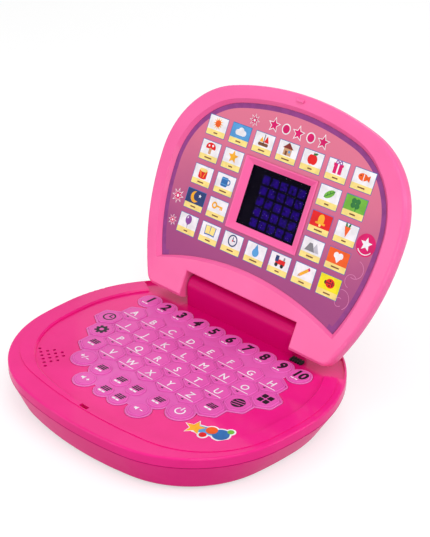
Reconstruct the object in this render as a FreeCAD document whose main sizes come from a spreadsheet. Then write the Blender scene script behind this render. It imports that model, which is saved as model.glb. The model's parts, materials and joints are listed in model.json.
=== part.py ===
import FreeCAD
import Part
import Sketcher
import math
import os

# A child's toy laptop: a clamshell with a keypad base, a hinge barrel and a display lid.
# +X is to the right, +Y to the rear and +Z up. The origin is on the desk, under the middle of the open toy.

Vector = FreeCAD.Vector
Placement = FreeCAD.Placement
Rotation = FreeCAD.Rotation

X_AXIS = Vector(1, 0, 0)
Y_AXIS = Vector(0, 1, 0)
Z_AXIS = Vector(0, 0, 1)

# Driving dimensions in millimetres; the lid and grille angles are in degrees.
SIZES = {
    # keys and their rows
    "key_pitch": 18.0,
    "key_row_pitch": 14.85,
    "key_half_flat": 8.0,
    "key_corner": 1.6,
    "key_edge": 0.4,
    "number_pitch": 15.3,
    "number_radius": 6.9,
    "number_row_gap": 19.7,
    "mode_row_gap": 18.6,
    "mode_row_bow": 2.8,
    "mode_outer_x": 44.1,
    "mode_middle_x": 26.3,
    "mode_inner_x": 7.2,
    "mode_outer_radius": 8.0,
    "mode_middle_radius": 6.8,
    "mode_inner_radius": 6.4,
    "song_row_gap": 13.7,
    "song_outer_x": 24.6,
    "song_inner_x": 6.5,
    "song_outer_radius": 6.8,
    "song_inner_radius": 5.8,
    "key_travel": 0.8,
    "travel_reserve": 0.1,
    "key_rise": 0.6,
    "key_clearance": 0.3,
    "stem_radius": 2.4,
    "stem_clearance": 0.5,
    # keypad sheet and the switch membrane below the deck
    "lobe_margin": 1.6,
    "sheet_thickness": 1.2,
    "sheet_clearance": 0.4,
    "pocket_depth": 0.7,
    "membrane_margin": 0.8,
    "membrane_thickness": 0.7,
    # base shells
    "base_setback": 21.67,
    "foot_height": 1.2,
    "foot_seat": 0.8,
    "foot_radius": 5.0,
    "front_foot_span": 75.0,
    "front_foot_reach": 50.0,
    "rear_foot_span": 66.0,
    "rear_foot_reach": 44.0,
    "cover_height": 4.3,
    "cover_wall": 2.2,
    "base_wall": 2.4,
    "tongue_width": 1.2,
    "tongue_depth": 1.5,
    "fit_clearance": 0.15,
    "recess_depth": 1.8,
    "deck_side_margin": 22.0,
    "deck_front_margin": 19.6,
    "rim_side_width": 15.4,
    "rim_front_width": 18.7,
    "rim_rear_width": 6.2,
    "rim_round": 1.4,
    "skirt_drop": 3.0,
    "base_side_radius": 244.0,
    "base_shoulder": 77.0,
    "base_front_radius": 258.0,
    "base_rear_flat": 65.6,
    "base_corner": 12.6,
    "base_bottom_round": 4.0,
    "bottom_side_inset": 12.0,
    "bottom_front_inset": 8.0,
    "bottom_rear_inset": 6.0,
    "bottom_shoulder": 63.0,
    "bottom_front_radius": 220.0,
    "widest_gap": 16.2,
    "plateau_side_inset": 4.5,
    "plateau_front_inset": 14.2,
    "plateau_rear_inset": 4.0,
    "plateau_shoulder": 60.0,
    "plateau_front_radius": 320.0,
    "plateau_rise": 0.5,
    "recess_flare": 1.0,
    "seam_round": 0.35,
    "well_x": 84.0,
    "well_reach": 29.0,
    "well_angle": 30.0,
    "well_wall": 1.3,
    "well_depth": 0.9,
    # hinge
    "hinge_gap": 23.3,
    "rear_margin": 17.3,
    "barrel_radius": 7.6,
    "barrel_half": 49.0,
    "barrel_wall": 2.4,
    "barrel_round": 1.5,
    "pin_radius": 2.0,
    "pin_grip": 6.0,
    "pin_reach": 8.0,
    "pin_clearance": 0.05,
    "knuckle_radius": 4.4,
    "knuckle_length": 12.0,
    # cable sleeve beside the right end of the barrel
    "sleeve_length": 10.0,
    "sleeve_width": 4.6,
    "sleeve_height": 2.0,
    "sleeve_root": 1.0,
    "sleeve_gap": 1.2,
    "sleeve_setback": 9.6,
    # speaker
    "speaker_x": -64.0,
    "speaker_setback": 77.4,
    "speaker_radius": 16.0,
    "speaker_frame": 2.5,
    "magnet_radius": 10.0,
    "magnet_height": 6.0,
    "speaker_ring": 1.2,
    "grille_x": -61.6,
    "grille_setback": 72.9,
    "grille_pitch": 4.45,
    "grille_radius": 1.1,
    "grille_angle": -30.0,
    # batteries
    "cell_radius": 7.2,
    "cell_length": 49.0,
    "cell_cap_radius": 2.7,
    "cell_cap_length": 1.0,
    "cell_pitch": 15.0,
    "cell_gap": 0.15,
    "bay_setback": 2.5,
    "bay_wall": 1.6,
    "bay_roof": 0.7,
    "rib_height": 5.2,
    "rib_thickness": 1.6,
    "rib_pitch": 24.0,
    "contact_thickness": 0.5,
    "contact_length": 2.9,
    "contact_size": 11.0,
    "door_thickness": 1.8,
    "door_ledge": 5.4,
    "door_clearance": 0.25,
    "door_seat": 1.2,
    "door_screw_length": 7.0,
    # circuit board
    "board_x": 1.0,
    "board_setback": 73.0,
    "board_length": 84.0,
    "board_width": 48.0,
    "board_thickness": 1.6,
    "board_level": 9.0,
    "stake_radius": 2.6,
    "stake_pin_radius": 1.2,
    "stake_inset": 5.0,
    "stake_rise": 0.6,
    "chip_radius": 6.0,
    "chip_height": 1.6,
    # screws
    "screw_radius": 1.3,
    "screw_head_radius": 2.7,
    "screw_head_height": 1.2,
    "screw_length": 11.0,
    "screw_clearance": 0.3,
    "thread_clearance": 0.02,
    "boss_wall": 1.6,
    "post_radius": 3.4,
    "boss_height": 7.0,
    "boss_seat": 3.8,
    "side_screw_inset": 21.5,
    "front_screw_span": 50.0,
    "front_screw_inset": 21.8,
    "rear_screw_span": 62.0,
    "rear_screw_inset": 19.8,
    # lid shells
    "lid_angle": 114.77,
    "lid_front_offset": 10.7,
    "lid_rest_gap": 0.6,
    "lid_thickness": 13.3,
    "frame_thickness": 4.5,
    "lid_side_inset": 4.6,
    "lid_front_inset": 12.1,
    "lid_widest": 75.0,
    "lid_side_radius": 400.0,
    "lid_shoulder": 61.0,
    "lid_top_radius": 216.0,
    "lid_heel_flat": 76.4,
    "lid_corner": 9.0,
    "lid_wall": 2.0,
    "lid_front_round": 2.5,
    "lid_back_round": 8.2,
    "lid_seam_round": 0.3,
    "notch_round": 1.0,
    "ear_drop": 10.5,
    "ear_clearance": 0.3,
    "notch_clearance": 0.5,
    "ear_side_gap": 1.0,
    "nub_inset": 4.3,
    "nub_length": 6.0,
    "nub_width": 2.0,
    "nub_height": 1.6,
    "slot_clearance": 0.5,
    "lid_screw_radius": 1.2,
    "lid_screw_length": 6.0,
    "lid_boss_seat": 1.8,
    "lid_boss_level": 0.2,
    "side_lid_screw_inset": 15.0,
    "top_lid_screw_span": 60.0,
    "top_lid_screw_inset": 24.0,
    "ear_lid_screw_span": 72.0,
    "ear_lid_screw_rise": 14.0,
    # picture panel and display
    "frame_side_width": 14.1,
    "frame_top_width": 11.8,
    "panel_widest": 69.8,
    "panel_side_radius": 400.0,
    "panel_shoulder": 55.0,
    "panel_top_radius": 194.0,
    "panel_taper": 13.3,
    "panel_corner_y": 10.8,
    "panel_bottom_y": 24.6,
    "panel_depth": 2.5,
    "panel_thickness": 0.6,
    "panel_clearance": 0.3,
    "display_y": 72.0,
    "island_half_width": 31.3,
    "island_half_height": 25.0,
    "island_rise": 0.5,
    "island_lip": 0.8,
    "window_half_width": 25.2,
    "window_half_height": 20.3,
    "glass_margin": 3.0,
    "glass_thickness": 1.5,
    "module_margin": 6.0,
    "module_thickness": 3.0,
}

# Levels and places that follow from the driving dimensions, in the order they build on each other.
LEVELS = {
    "case_bottom": "Sizes.foot_height",
    "cell_z": "case_bottom + Sizes.door_thickness + Sizes.cell_gap + Sizes.cell_radius",
    "bay_ceiling": "cell_z + Sizes.cell_radius + Sizes.cell_gap",
    "rib_top": "bay_ceiling + Sizes.bay_roof + Sizes.rib_height",
    "membrane_bottom": "rib_top + Sizes.cell_gap",
    "seam": "membrane_bottom + Sizes.membrane_thickness",
    "skirt_bottom": "seam - Sizes.skirt_drop",
    "rim_top": "seam + Sizes.cover_height",
    "deck_top": "rim_top - Sizes.recess_depth",
    "well_floor": "deck_top - Sizes.well_depth",
    "pocket_floor": "deck_top - Sizes.pocket_depth",
    "sheet_top": "pocket_floor + Sizes.sheet_thickness",
    "key_top": "sheet_top + Sizes.key_rise",
    "key_bottom": "pocket_floor + Sizes.key_travel + Sizes.travel_reserve",
    "stem_bottom": "seam + Sizes.key_travel + Sizes.travel_reserve",
    "key_point_radius": "Sizes.key_half_flat / cos(30 deg)",
    "key_span": "3 * Sizes.key_row_pitch + Sizes.mode_row_gap + Sizes.song_row_gap",
    "rear_span": "Sizes.rear_margin + Sizes.hinge_gap + Sizes.number_row_gap",
    "base_depth": "rear_span + key_span + Sizes.deck_front_margin + Sizes.rim_front_width",
    "base_front": "-Sizes.base_setback - base_depth / 2",
    "base_rear": "-Sizes.base_setback + base_depth / 2",
    "letter_y": "base_rear - rear_span",
    "number_y": "letter_y + Sizes.number_row_gap",
    "mode_y": "letter_y - 3 * Sizes.key_row_pitch - Sizes.mode_row_gap",
    "song_y": "mode_y - Sizes.song_row_gap",
    "axis_y": "number_y + Sizes.hinge_gap",
    "axis_z": "rim_top + Sizes.lid_rest_gap + Sizes.lid_front_offset",
    "recess_half_width": "4 * Sizes.key_pitch + Sizes.deck_side_margin",
    "base_half_width": "recess_half_width + Sizes.rim_side_width",
    "base_widest": "letter_y - Sizes.widest_gap",
    "base_crown": "base_widest - base_front",
    "base_heel": "base_rear - base_widest",
    "speaker_y": "letter_y - Sizes.speaker_setback",
    "grille_y": "letter_y - Sizes.grille_setback",
    "bay_y": "letter_y + Sizes.bay_setback",
    "bay_half_length": "Sizes.cell_length / 2 + Sizes.contact_length + Sizes.contact_thickness",
    "bay_half_width": "1.5 * Sizes.cell_pitch",
    "board_y": "letter_y - Sizes.board_setback",
    "sleeve_x": "Sizes.barrel_half + Sizes.sleeve_gap",
    "sleeve_y": "axis_y - Sizes.sleeve_setback",
    "lid_tilt": "180 - Sizes.lid_angle",
    "lid_reach": "axis_y - base_front - Sizes.lid_front_inset",
    "lid_half_width": "base_half_width - Sizes.lid_side_inset",
    "lid_crown": "lid_reach - Sizes.lid_widest",
    "lid_heel": "Sizes.lid_widest + Sizes.ear_drop",
    "lid_back": "Sizes.lid_front_offset - Sizes.lid_thickness",
    "lid_seam": "Sizes.lid_front_offset - Sizes.frame_thickness",
    "panel_face": "Sizes.lid_front_offset - Sizes.panel_depth",
    "panel_back": "panel_face - Sizes.panel_thickness",
    "panel_half_width": "lid_half_width - Sizes.frame_side_width",
    "panel_crown": "lid_reach - Sizes.frame_top_width - Sizes.panel_widest",
    "ear_radius": "axis_z - well_floor - Sizes.ear_clearance",
    "notch_top": "Sizes.barrel_radius + Sizes.notch_clearance",
    "notch_half": "Sizes.barrel_half + Sizes.ear_side_gap",
    "nub_y": "lid_reach - Sizes.nub_inset",
    "slot_y": "axis_y - nub_y",
    "side_screw_x": "base_half_width - Sizes.side_screw_inset",
    "side_screw_y": "base_widest",
    "front_screw_x": "Sizes.front_screw_span",
    "front_screw_y": "base_front + Sizes.front_screw_inset",
    "rear_screw_x": "Sizes.rear_screw_span",
    "rear_screw_y": "base_rear - Sizes.rear_screw_inset",
    "door_screw_x": "bay_half_length + Sizes.door_ledge / 2",
    "front_foot_x": "Sizes.front_foot_span",
    "front_foot_y": "base_widest - Sizes.front_foot_reach",
    "rear_foot_x": "Sizes.rear_foot_span",
    "rear_foot_y": "base_widest + Sizes.rear_foot_reach",
    "side_lid_screw_x": "lid_half_width - Sizes.side_lid_screw_inset",
    "side_lid_screw_y": "Sizes.lid_widest",
    "top_lid_screw_x": "Sizes.top_lid_screw_span",
    "top_lid_screw_y": "lid_reach - Sizes.top_lid_screw_inset",
    "ear_lid_screw_x": "Sizes.ear_lid_screw_span",
    "ear_lid_screw_y": "Sizes.ear_lid_screw_rise",
}

# The four rows of hexagonal keys from the rear: a star is a picture key and a plus is a mode key.
HEX_ROWS = ("ABCDEFGH", "*IJKLMNO*", "*PQRSTU*", "+VWXYZ+")

# Holes of the speaker grille: how far along each slanted line starts, and how many it has.
GRILLE_LINES = ((0, 6), (1, 4), (1, 4), (2, 2))

# What stands in mirrored pairs; each has its place among the levels.
CASE_SCREWS = ("side_screw", "front_screw", "rear_screw")
LID_SCREWS = ("side_lid_screw", "top_lid_screw", "ear_lid_screw")
FEET = ("front_foot", "rear_foot")

# How far a cutter runs past a face, and how near two places are when they count as one.
OVERCUT = 1.0
FITTING = 1e-6

doc = FreeCAD.newDocument("ToyLaptop")


def make_sheet(name, cells, prefix):
    """A spreadsheet with one aliased cell for each entry."""
    sheet = doc.addObject("Spreadsheet::Sheet", name)
    for row, (alias, content) in enumerate(cells.items(), start=1):
        sheet.set(f"A{row}", alias)
        sheet.set(f"B{row}", f"{prefix}{content}")
        sheet.setAlias(f"B{row}", alias)
    doc.recompute()
    return sheet


sizes = make_sheet("Sizes", SIZES, "")
levels = make_sheet("Levels", LEVELS, "=")
nodes = {}


def size(alias):
    """The driving dimension of that name."""
    return float(sizes.get(alias))


def level(alias):
    """The derived dimension of that name."""
    return float(levels.get(alias))


def keep(feature, label):
    """Mark a feature as one sub-part of the toy."""
    feature.Label = label
    nodes[label] = feature
    return feature


def bind(feature, **expressions):
    """Tie properties to the sheets; x, y and z stand for the placement."""
    for name, expression in expressions.items():
        path = f"Placement.Base.{name}" if name in ("x", "y", "z") else name
        feature.setExpression(path, expression)
    return feature


def box(name, length, width, height, x, y, z):
    """A block whose middle is at x and y and whose underside is at z."""
    feature = doc.addObject("Part::Box", name)
    return bind(feature, Length=length, Width=width, Height=height,
                x=f"{x} - ({length}) / 2", y=f"{y} - ({width}) / 2", z=z)


def upright(name, radius, height, x, y, z):
    """A cylinder standing on z."""
    feature = doc.addObject("Part::Cylinder", name)
    return bind(feature, Radius=radius, Height=height, x=x, y=y, z=z)


def lying(name, radius, length, x, y, z):
    """A cylinder that starts at x and runs along +X."""
    feature = doc.addObject("Part::Cylinder", name)
    feature.Placement = Placement(Vector(), Rotation(Y_AXIS, 90))
    return bind(feature, Radius=radius, Height=length, x=x, y=y, z=z)


def fuse(name, *features):
    """Several features joined into one solid."""
    feature = doc.addObject("Part::MultiFuse", name)
    feature.Shapes = list(features)
    return feature


def group(name, features):
    """Separate solids kept together in one sub-part."""
    feature = doc.addObject("Part::Compound", name)
    feature.Links = list(features)
    return feature


def cut(name, base, tool):
    """One feature with another taken out of it."""
    feature = doc.addObject("Part::Cut", name)
    feature.Base = base
    feature.Tool = tool
    return feature


def shaped(label, shape):
    """A sub-part whose outline is a free curve."""
    feature = doc.addObject("Part::Feature", label)
    feature.Shape = shape
    return keep(feature, label)


def hang_on_lid(feature):
    """Turn a sub-part drawn flat about the hinge axis to the angle at which the lid stands."""
    feature.Placement = Placement(Vector(), Rotation(X_AXIS, level("lid_tilt")))
    bind(feature, y="Levels.axis_y", z="Levels.axis_z")
    feature.setExpression("Placement.Rotation.Angle", "Levels.lid_tilt")
    return feature


def block(x_range, y_range, z_range):
    """A plain block between the limits on each axis."""
    corner = Vector(x_range[0], y_range[0], z_range[0])
    spans = [limits[1] - limits[0] for limits in (x_range, y_range, z_range)]
    return Part.makeBox(*spans, corner)


def rod(radius, x_range, y, z):
    """A cylinder along X."""
    return Part.makeCylinder(radius, x_range[1] - x_range[0], Vector(x_range[0], y, z), X_AXIS)


def post(radius, x, y, z_range):
    """A cylinder along Z."""
    return Part.makeCylinder(radius, z_range[1] - z_range[0], Vector(x, y, z_range[0]), Z_AXIS)


def spots(names):
    """Where each named thing and its twin on the other side are."""
    return [(side * level(f"{name}_x"), level(f"{name}_y")) for name in names for side in (-1, 1)]


def bound_spots(names):
    """The same places, written for the sheets."""
    return [(f"{side} * Levels.{name}_x", f"Levels.{name}_y") for name in names for side in (-1, 1)]


class ShellOutline:
    """A plan outline of tangent arcs: a crown, a shoulder and a side on each half, and a straight heel.

    Lengths run from the widest line; the crown points to +Y where sense is 1 and to -Y where it is -1.
    """

    def __init__(self, half_width, crown, radii, heel, heel_flat, corner, widest, sense):
        self.half_width = half_width
        self.crown = crown
        self.side_radius, self.shoulder, self.top_radius = radii
        self.heel = heel
        self.heel_flat = heel_flat
        self.corner = corner
        self.widest = widest
        self.sense = sense

    def arc(self, side, centre, radius, start, stop, z):
        """An arc between two angles about a centre, on the right half or mirrored to the left."""
        points = []
        for angle in (start, (start + stop) / 2, stop):
            x = side * (centre[0] + radius * math.cos(angle))
            y = self.widest + self.sense * (centre[1] + radius * math.sin(angle))
            points.append(Vector(x, y, z))
        return Part.Arc(*points).toShape()

    def shoulder_centre(self):
        """Where the shoulder's circle touches both the side's circle and the crown's from inside."""
        side_reach = self.side_radius - self.shoulder
        top_reach = self.top_radius - self.shoulder
        side_x = self.half_width - self.side_radius
        top_y = self.crown - self.top_radius
        apart = math.hypot(side_x, top_y)
        along = (side_reach ** 2 - top_reach ** 2 + apart ** 2) / (2 * apart)
        away = math.sqrt(side_reach ** 2 - along ** 2)
        toward = (-side_x / apart, top_y / apart)
        return (side_x + along * toward[0] - away * toward[1], along * toward[1] + away * toward[0])

    def crown_arcs(self, inset, z):
        """The crown, shoulders and upper sides, from one end of the widest line to the other."""
        middle = self.shoulder_centre()
        top = (0, self.crown - self.top_radius)
        side = (self.half_width - self.side_radius, 0)
        top_end = math.atan2(middle[1] - top[1], middle[0])
        side_end = math.atan2(middle[1], middle[0] - side[0])
        edges = [self.arc(1, top, self.top_radius - inset, math.pi - top_end, top_end, z)]
        for half in (-1, 1):
            edges.append(self.arc(half, middle, self.shoulder - inset, top_end, side_end, z))
            edges.append(self.arc(half, side, self.side_radius - inset, side_end, 0, z))
        return edges

    def wire(self, inset, z):
        """The closed outline, moved inwards by the inset."""
        drop = self.heel - self.corner
        spread = self.half_width - self.heel_flat
        radius = (spread ** 2 + drop ** 2 - self.corner ** 2) / (2 * (spread - self.corner))
        side = (self.half_width - radius, 0)
        turn = -math.atan2(drop, self.heel_flat - side[0])
        edges = self.crown_arcs(inset, z)
        for half in (-1, 1):
            edges.append(self.arc(half, side, radius - inset, 0, turn, z))
            corner = (self.heel_flat, -drop)
            edges.append(self.arc(half, corner, self.corner - inset, turn, -math.pi / 2, z))
        heel_y = self.widest - self.sense * (self.heel - inset)
        ends = [Vector(half * self.heel_flat, heel_y, z) for half in (-1, 1)]
        edges.append(Part.LineSegment(*ends).toShape())
        return Part.Wire(Part.__sortEdges__(edges))

    def prism(self, inset, z_range):
        """The outline raised from one level to another."""
        return raise_wire(self.wire(inset, z_range[0]), z_range)

    def rounded(self, inset, z_range, at_bottom, at_top):
        """The raised outline with its bottom and top edges rounded; zero leaves an edge sharp."""
        solid = self.prism(inset, z_range)
        for radius, z in ((at_bottom, z_range[0]), (at_top, z_range[1])):
            if radius:
                edges = [edge for edge in solid.Edges if on_level(edge, z)]
                solid = solid.makeFillet(radius, edges)
        return solid


def raise_wire(wire, z_range):
    """A solid over a closed flat wire."""
    solid = Part.Face(wire).extrude(Vector(0, 0, z_range[1] - z_range[0]))
    if solid.Volume < 0:
        solid.reverse()
    return solid


def tapered(lower, upper, inset, z_range):
    """A solid that runs straight from one outline to another, both moved inwards by the inset."""
    return Part.makeLoft([lower.wire(inset, z_range[0]), upper.wire(inset, z_range[1])], True, True)


def on_level(edge, z):
    """Whether an edge lies wholly at one height."""
    return abs(edge.BoundBox.ZMin - z) < FITTING and abs(edge.BoundBox.ZMax - z) < FITTING


def hexagon(half_flat, x, y):
    """A pointed hexagon face with its corners trimmed to follow a key's rounded ones."""
    point_radius = half_flat / math.cos(math.pi / 6)
    core = size("key_half_flat") - size("key_corner")
    corner_reach = core / math.cos(math.pi / 6) + half_flat - core
    corners = []
    for step in range(7):
        turn = math.pi / 6 + math.pi / 3 * step
        corners.append(Vector(x + point_radius * math.cos(turn), y + point_radius * math.sin(turn), 0))
    face = Part.Face(Part.makePolygon(corners))
    return face.common(disc(corner_reach, x, y)).Faces[0]


def disc(radius, x, y):
    """A round face."""
    circle = Part.Circle(Vector(x, y, 0), Z_AXIS, radius)
    return Part.Face(Part.Wire(circle.toShape()))


base_radii = (size("base_side_radius"), size("base_shoulder"), size("base_front_radius"))
recess_radii = tuple(radius - size("rim_side_width") for radius in base_radii)
lid_radii = (size("lid_side_radius"), size("lid_shoulder"), size("lid_top_radius"))
panel_radii = (size("panel_side_radius"), size("panel_shoulder"), size("panel_top_radius"))

base_outline = ShellOutline(
    level("base_half_width"), level("base_crown"), base_radii, level("base_heel"),
    size("base_rear_flat"), size("base_corner"), level("base_widest"), -1,
)
recess_outline = ShellOutline(
    level("recess_half_width"), level("base_crown") - size("rim_front_width"), recess_radii,
    level("base_heel") - size("rim_rear_width"), size("base_rear_flat") - size("rim_side_width"),
    size("base_corner"), level("base_widest"), -1,
)
bottom_inset = size("bottom_side_inset")
bottom_radii = (size("base_side_radius"), size("bottom_shoulder"), size("bottom_front_radius"))
bottom_outline = ShellOutline(
    level("base_half_width") - bottom_inset, level("base_crown") - size("bottom_front_inset"), bottom_radii,
    level("base_heel") - size("bottom_rear_inset"), size("base_rear_flat") - bottom_inset,
    size("base_corner"), level("base_widest"), -1,
)
plateau_inset = size("plateau_side_inset")
plateau_radii = (
    size("base_side_radius") - plateau_inset, size("plateau_shoulder"), size("plateau_front_radius"),
)
plateau_outline = ShellOutline(
    level("base_half_width") - plateau_inset, level("base_crown") - size("plateau_front_inset"),
    plateau_radii, level("base_heel") - size("plateau_rear_inset"), size("base_rear_flat") - plateau_inset,
    size("base_corner"), level("base_widest"), -1,
)
lid_outline = ShellOutline(
    level("lid_half_width"), level("lid_crown"), lid_radii, level("lid_heel"),
    size("lid_heel_flat"), size("lid_corner"), size("lid_widest"), 1,
)
panel_outline = ShellOutline(
    level("panel_half_width"), level("panel_crown"), panel_radii, 0, 0, 0, size("panel_widest"), 1,
)


class Key:
    """One key: a cap with rounded edges on a round stem."""

    def __init__(self, name, x, y, radius=None):
        self.name = name
        self.radius = radius
        height = "Levels.key_top - Levels.key_bottom"
        if radius is None:
            self.cap = doc.addObject("Part::Prism", f"cap_{name}")
            self.cap.Polygon = 6
            self.cap.Placement = Placement(Vector(), Rotation(Z_AXIS, 30))
            bind(self.cap, Circumradius="Levels.key_point_radius", Height=height,
                 x=x, y=y, z="Levels.key_bottom")
        else:
            self.cap = upright(f"cap_{name}", f"Sizes.{radius}", height, x, y, "Levels.key_bottom")
        stem_height = "Levels.key_bottom - Levels.stem_bottom"
        self.stem = upright(f"stem_{name}", "Sizes.stem_radius", stem_height, x, y, "Levels.stem_bottom")

    def outline(self, grow):
        """The cap's face in plan, grown all round."""
        middle = self.cap.Placement.Base
        if self.radius is None:
            return hexagon(size("key_half_flat") + grow, middle.x, middle.y)
        return disc(size(self.radius) + grow, middle.x, middle.y)

    def finish(self):
        """Round the cap's edges and join it to its stem."""
        rounded = doc.addObject("Part::Fillet", f"rounded_{self.name}")
        rounded.Base = self.cap
        edges = []
        for index, edge in enumerate(self.cap.Shape.Edges, start=1):
            if on_level(edge, level("key_top")):
                edges.append((index, size("key_edge"), size("key_edge")))
            elif self.radius is None and not on_level(edge, level("key_bottom")):
                edges.append((index, size("key_corner"), size("key_corner")))
        rounded.Edges = edges
        return fuse(f"solid_{self.name}", rounded, self.stem)


def hex_keys():
    """The letter keys and the picture keys, row by row."""
    letters = []
    pictures = []
    modes = []
    for row, symbols in enumerate(HEX_ROWS):
        for column, symbol in enumerate(symbols):
            x = f"{column - (len(symbols) - 1) / 2} * Sizes.key_pitch"
            y = f"Levels.letter_y - {row} * Sizes.key_row_pitch"
            if symbol == "*":
                pictures.append(Key(f"picture_{row}_{column}", x, y))
            elif symbol == "+":
                modes.append(Key(f"mode_{row}_{column}", x, y))
            else:
                letters.append(Key(f"letter_key_{symbol.lower()}", x, y))
    return letters, pictures, modes


def number_keys():
    """The row of ten round number keys."""
    keys = []
    for number in range(1, 11):
        x = f"{number - 5.5} * Sizes.number_pitch"
        keys.append(Key(f"number_key_{number}", x, "Levels.number_y", "number_radius"))
    return keys


def round_keys():
    """The two bowed rows at the front: sign, mode and power keys, then the volume and song keys."""
    bow = "Levels.mode_y + Sizes.mode_row_bow * ({0} / Sizes.mode_outer_x) ^ 2"
    keys = {}
    for place in ("outer", "middle", "inner"):
        for side, sign in (("left", "-"), ("right", "")):
            x = f"{sign}Sizes.mode_{place}_x"
            y = bow.format(f"Sizes.mode_{place}_x")
            keys[f"mode_{place}_{side}"] = Key(f"mode_{place}_{side}", x, y, f"mode_{place}_radius")
    for place in ("outer", "inner"):
        for side, sign in (("left", "-"), ("right", "")):
            x = f"{sign}Sizes.song_{place}_x"
            keys[f"song_{place}_{side}"] = Key(
                f"song_{place}_{side}", x, "Levels.song_y", f"song_{place}_radius")
    return keys


def build_keys():
    """Every key; the single ones are sub-parts of their own and the rest share two groups."""
    letters, pictures, modes = hex_keys()
    numbers = number_keys()
    fronts = round_keys()
    named = {
        "power_key": fronts.pop("mode_outer_right"),
        "volume_up_key": fronts.pop("song_outer_left"),
        "volume_down_key": fronts.pop("song_outer_right"),
    }
    modes.extend(fronts.values())
    doc.recompute()
    for key in letters + numbers:
        keep(key.finish(), key.name)
    for label, key in named.items():
        keep(key.finish(), label)
    keep(group("PictureKeys", [key.finish() for key in pictures]), "picture_keys")
    keep(group("ModeKeys", [key.finish() for key in modes]), "mode_keys")
    return letters + pictures + modes + numbers + list(named.values())


def keypad_plan(keys, grow):
    """The scalloped face round all the keys, with the strips between its rows filled."""
    rows = (
        ("number_y", "letter_y", 3.5 * size("key_pitch")),
        ("mode_y", None, size("mode_outer_x")),
        ("song_y", "mode_y", size("song_outer_x")),
    )
    last_hex_row = level("letter_y") - (len(HEX_ROWS) - 1) * size("key_row_pitch")
    strips = []
    for first, second, half in rows:
        ends = (level(first), level(second) if second else last_hex_row)
        strips.append(Part.makePlane(2 * half, abs(ends[1] - ends[0]), Vector(-half, min(ends), 0)))
    lobes = [key.outline(size("lobe_margin") + grow) for key in keys]
    return strips[0].multiFuse(strips[1:] + lobes).removeSplitter().Faces[0]


def raise_face(face, z_range):
    """A solid over a flat face drawn at the origin's level."""
    lifted = face.translated(Vector(0, 0, z_range[0]))
    return lifted.extrude(Vector(0, 0, z_range[1] - z_range[0]))


def build_keypad_sheet(keys):
    """The flexible sheet with one window for each key."""
    windows = [key.outline(size("key_clearance")) for key in keys]
    face = keypad_plan(keys, 0).cut(windows).Faces[0]
    shaped("keypad_sheet", raise_face(face, (level("pocket_floor"), level("sheet_top"))))


def build_switch_membrane(keys):
    """The stiff-backed contact membrane under the deck."""
    face = keypad_plan(keys, size("membrane_margin") - size("lobe_margin"))
    shaped("switch_membrane", raise_face(face, (level("membrane_bottom"), level("seam"))))


def board_stakes():
    """The four stakes that hold the circuit board."""
    across = size("board_length") / 2 - size("stake_inset")
    along = size("board_width") / 2 - size("stake_inset")
    return [(size("board_x") + across * i, level("board_y") + along * j) for i in (-1, 1) for j in (-1, 1)]


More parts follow.
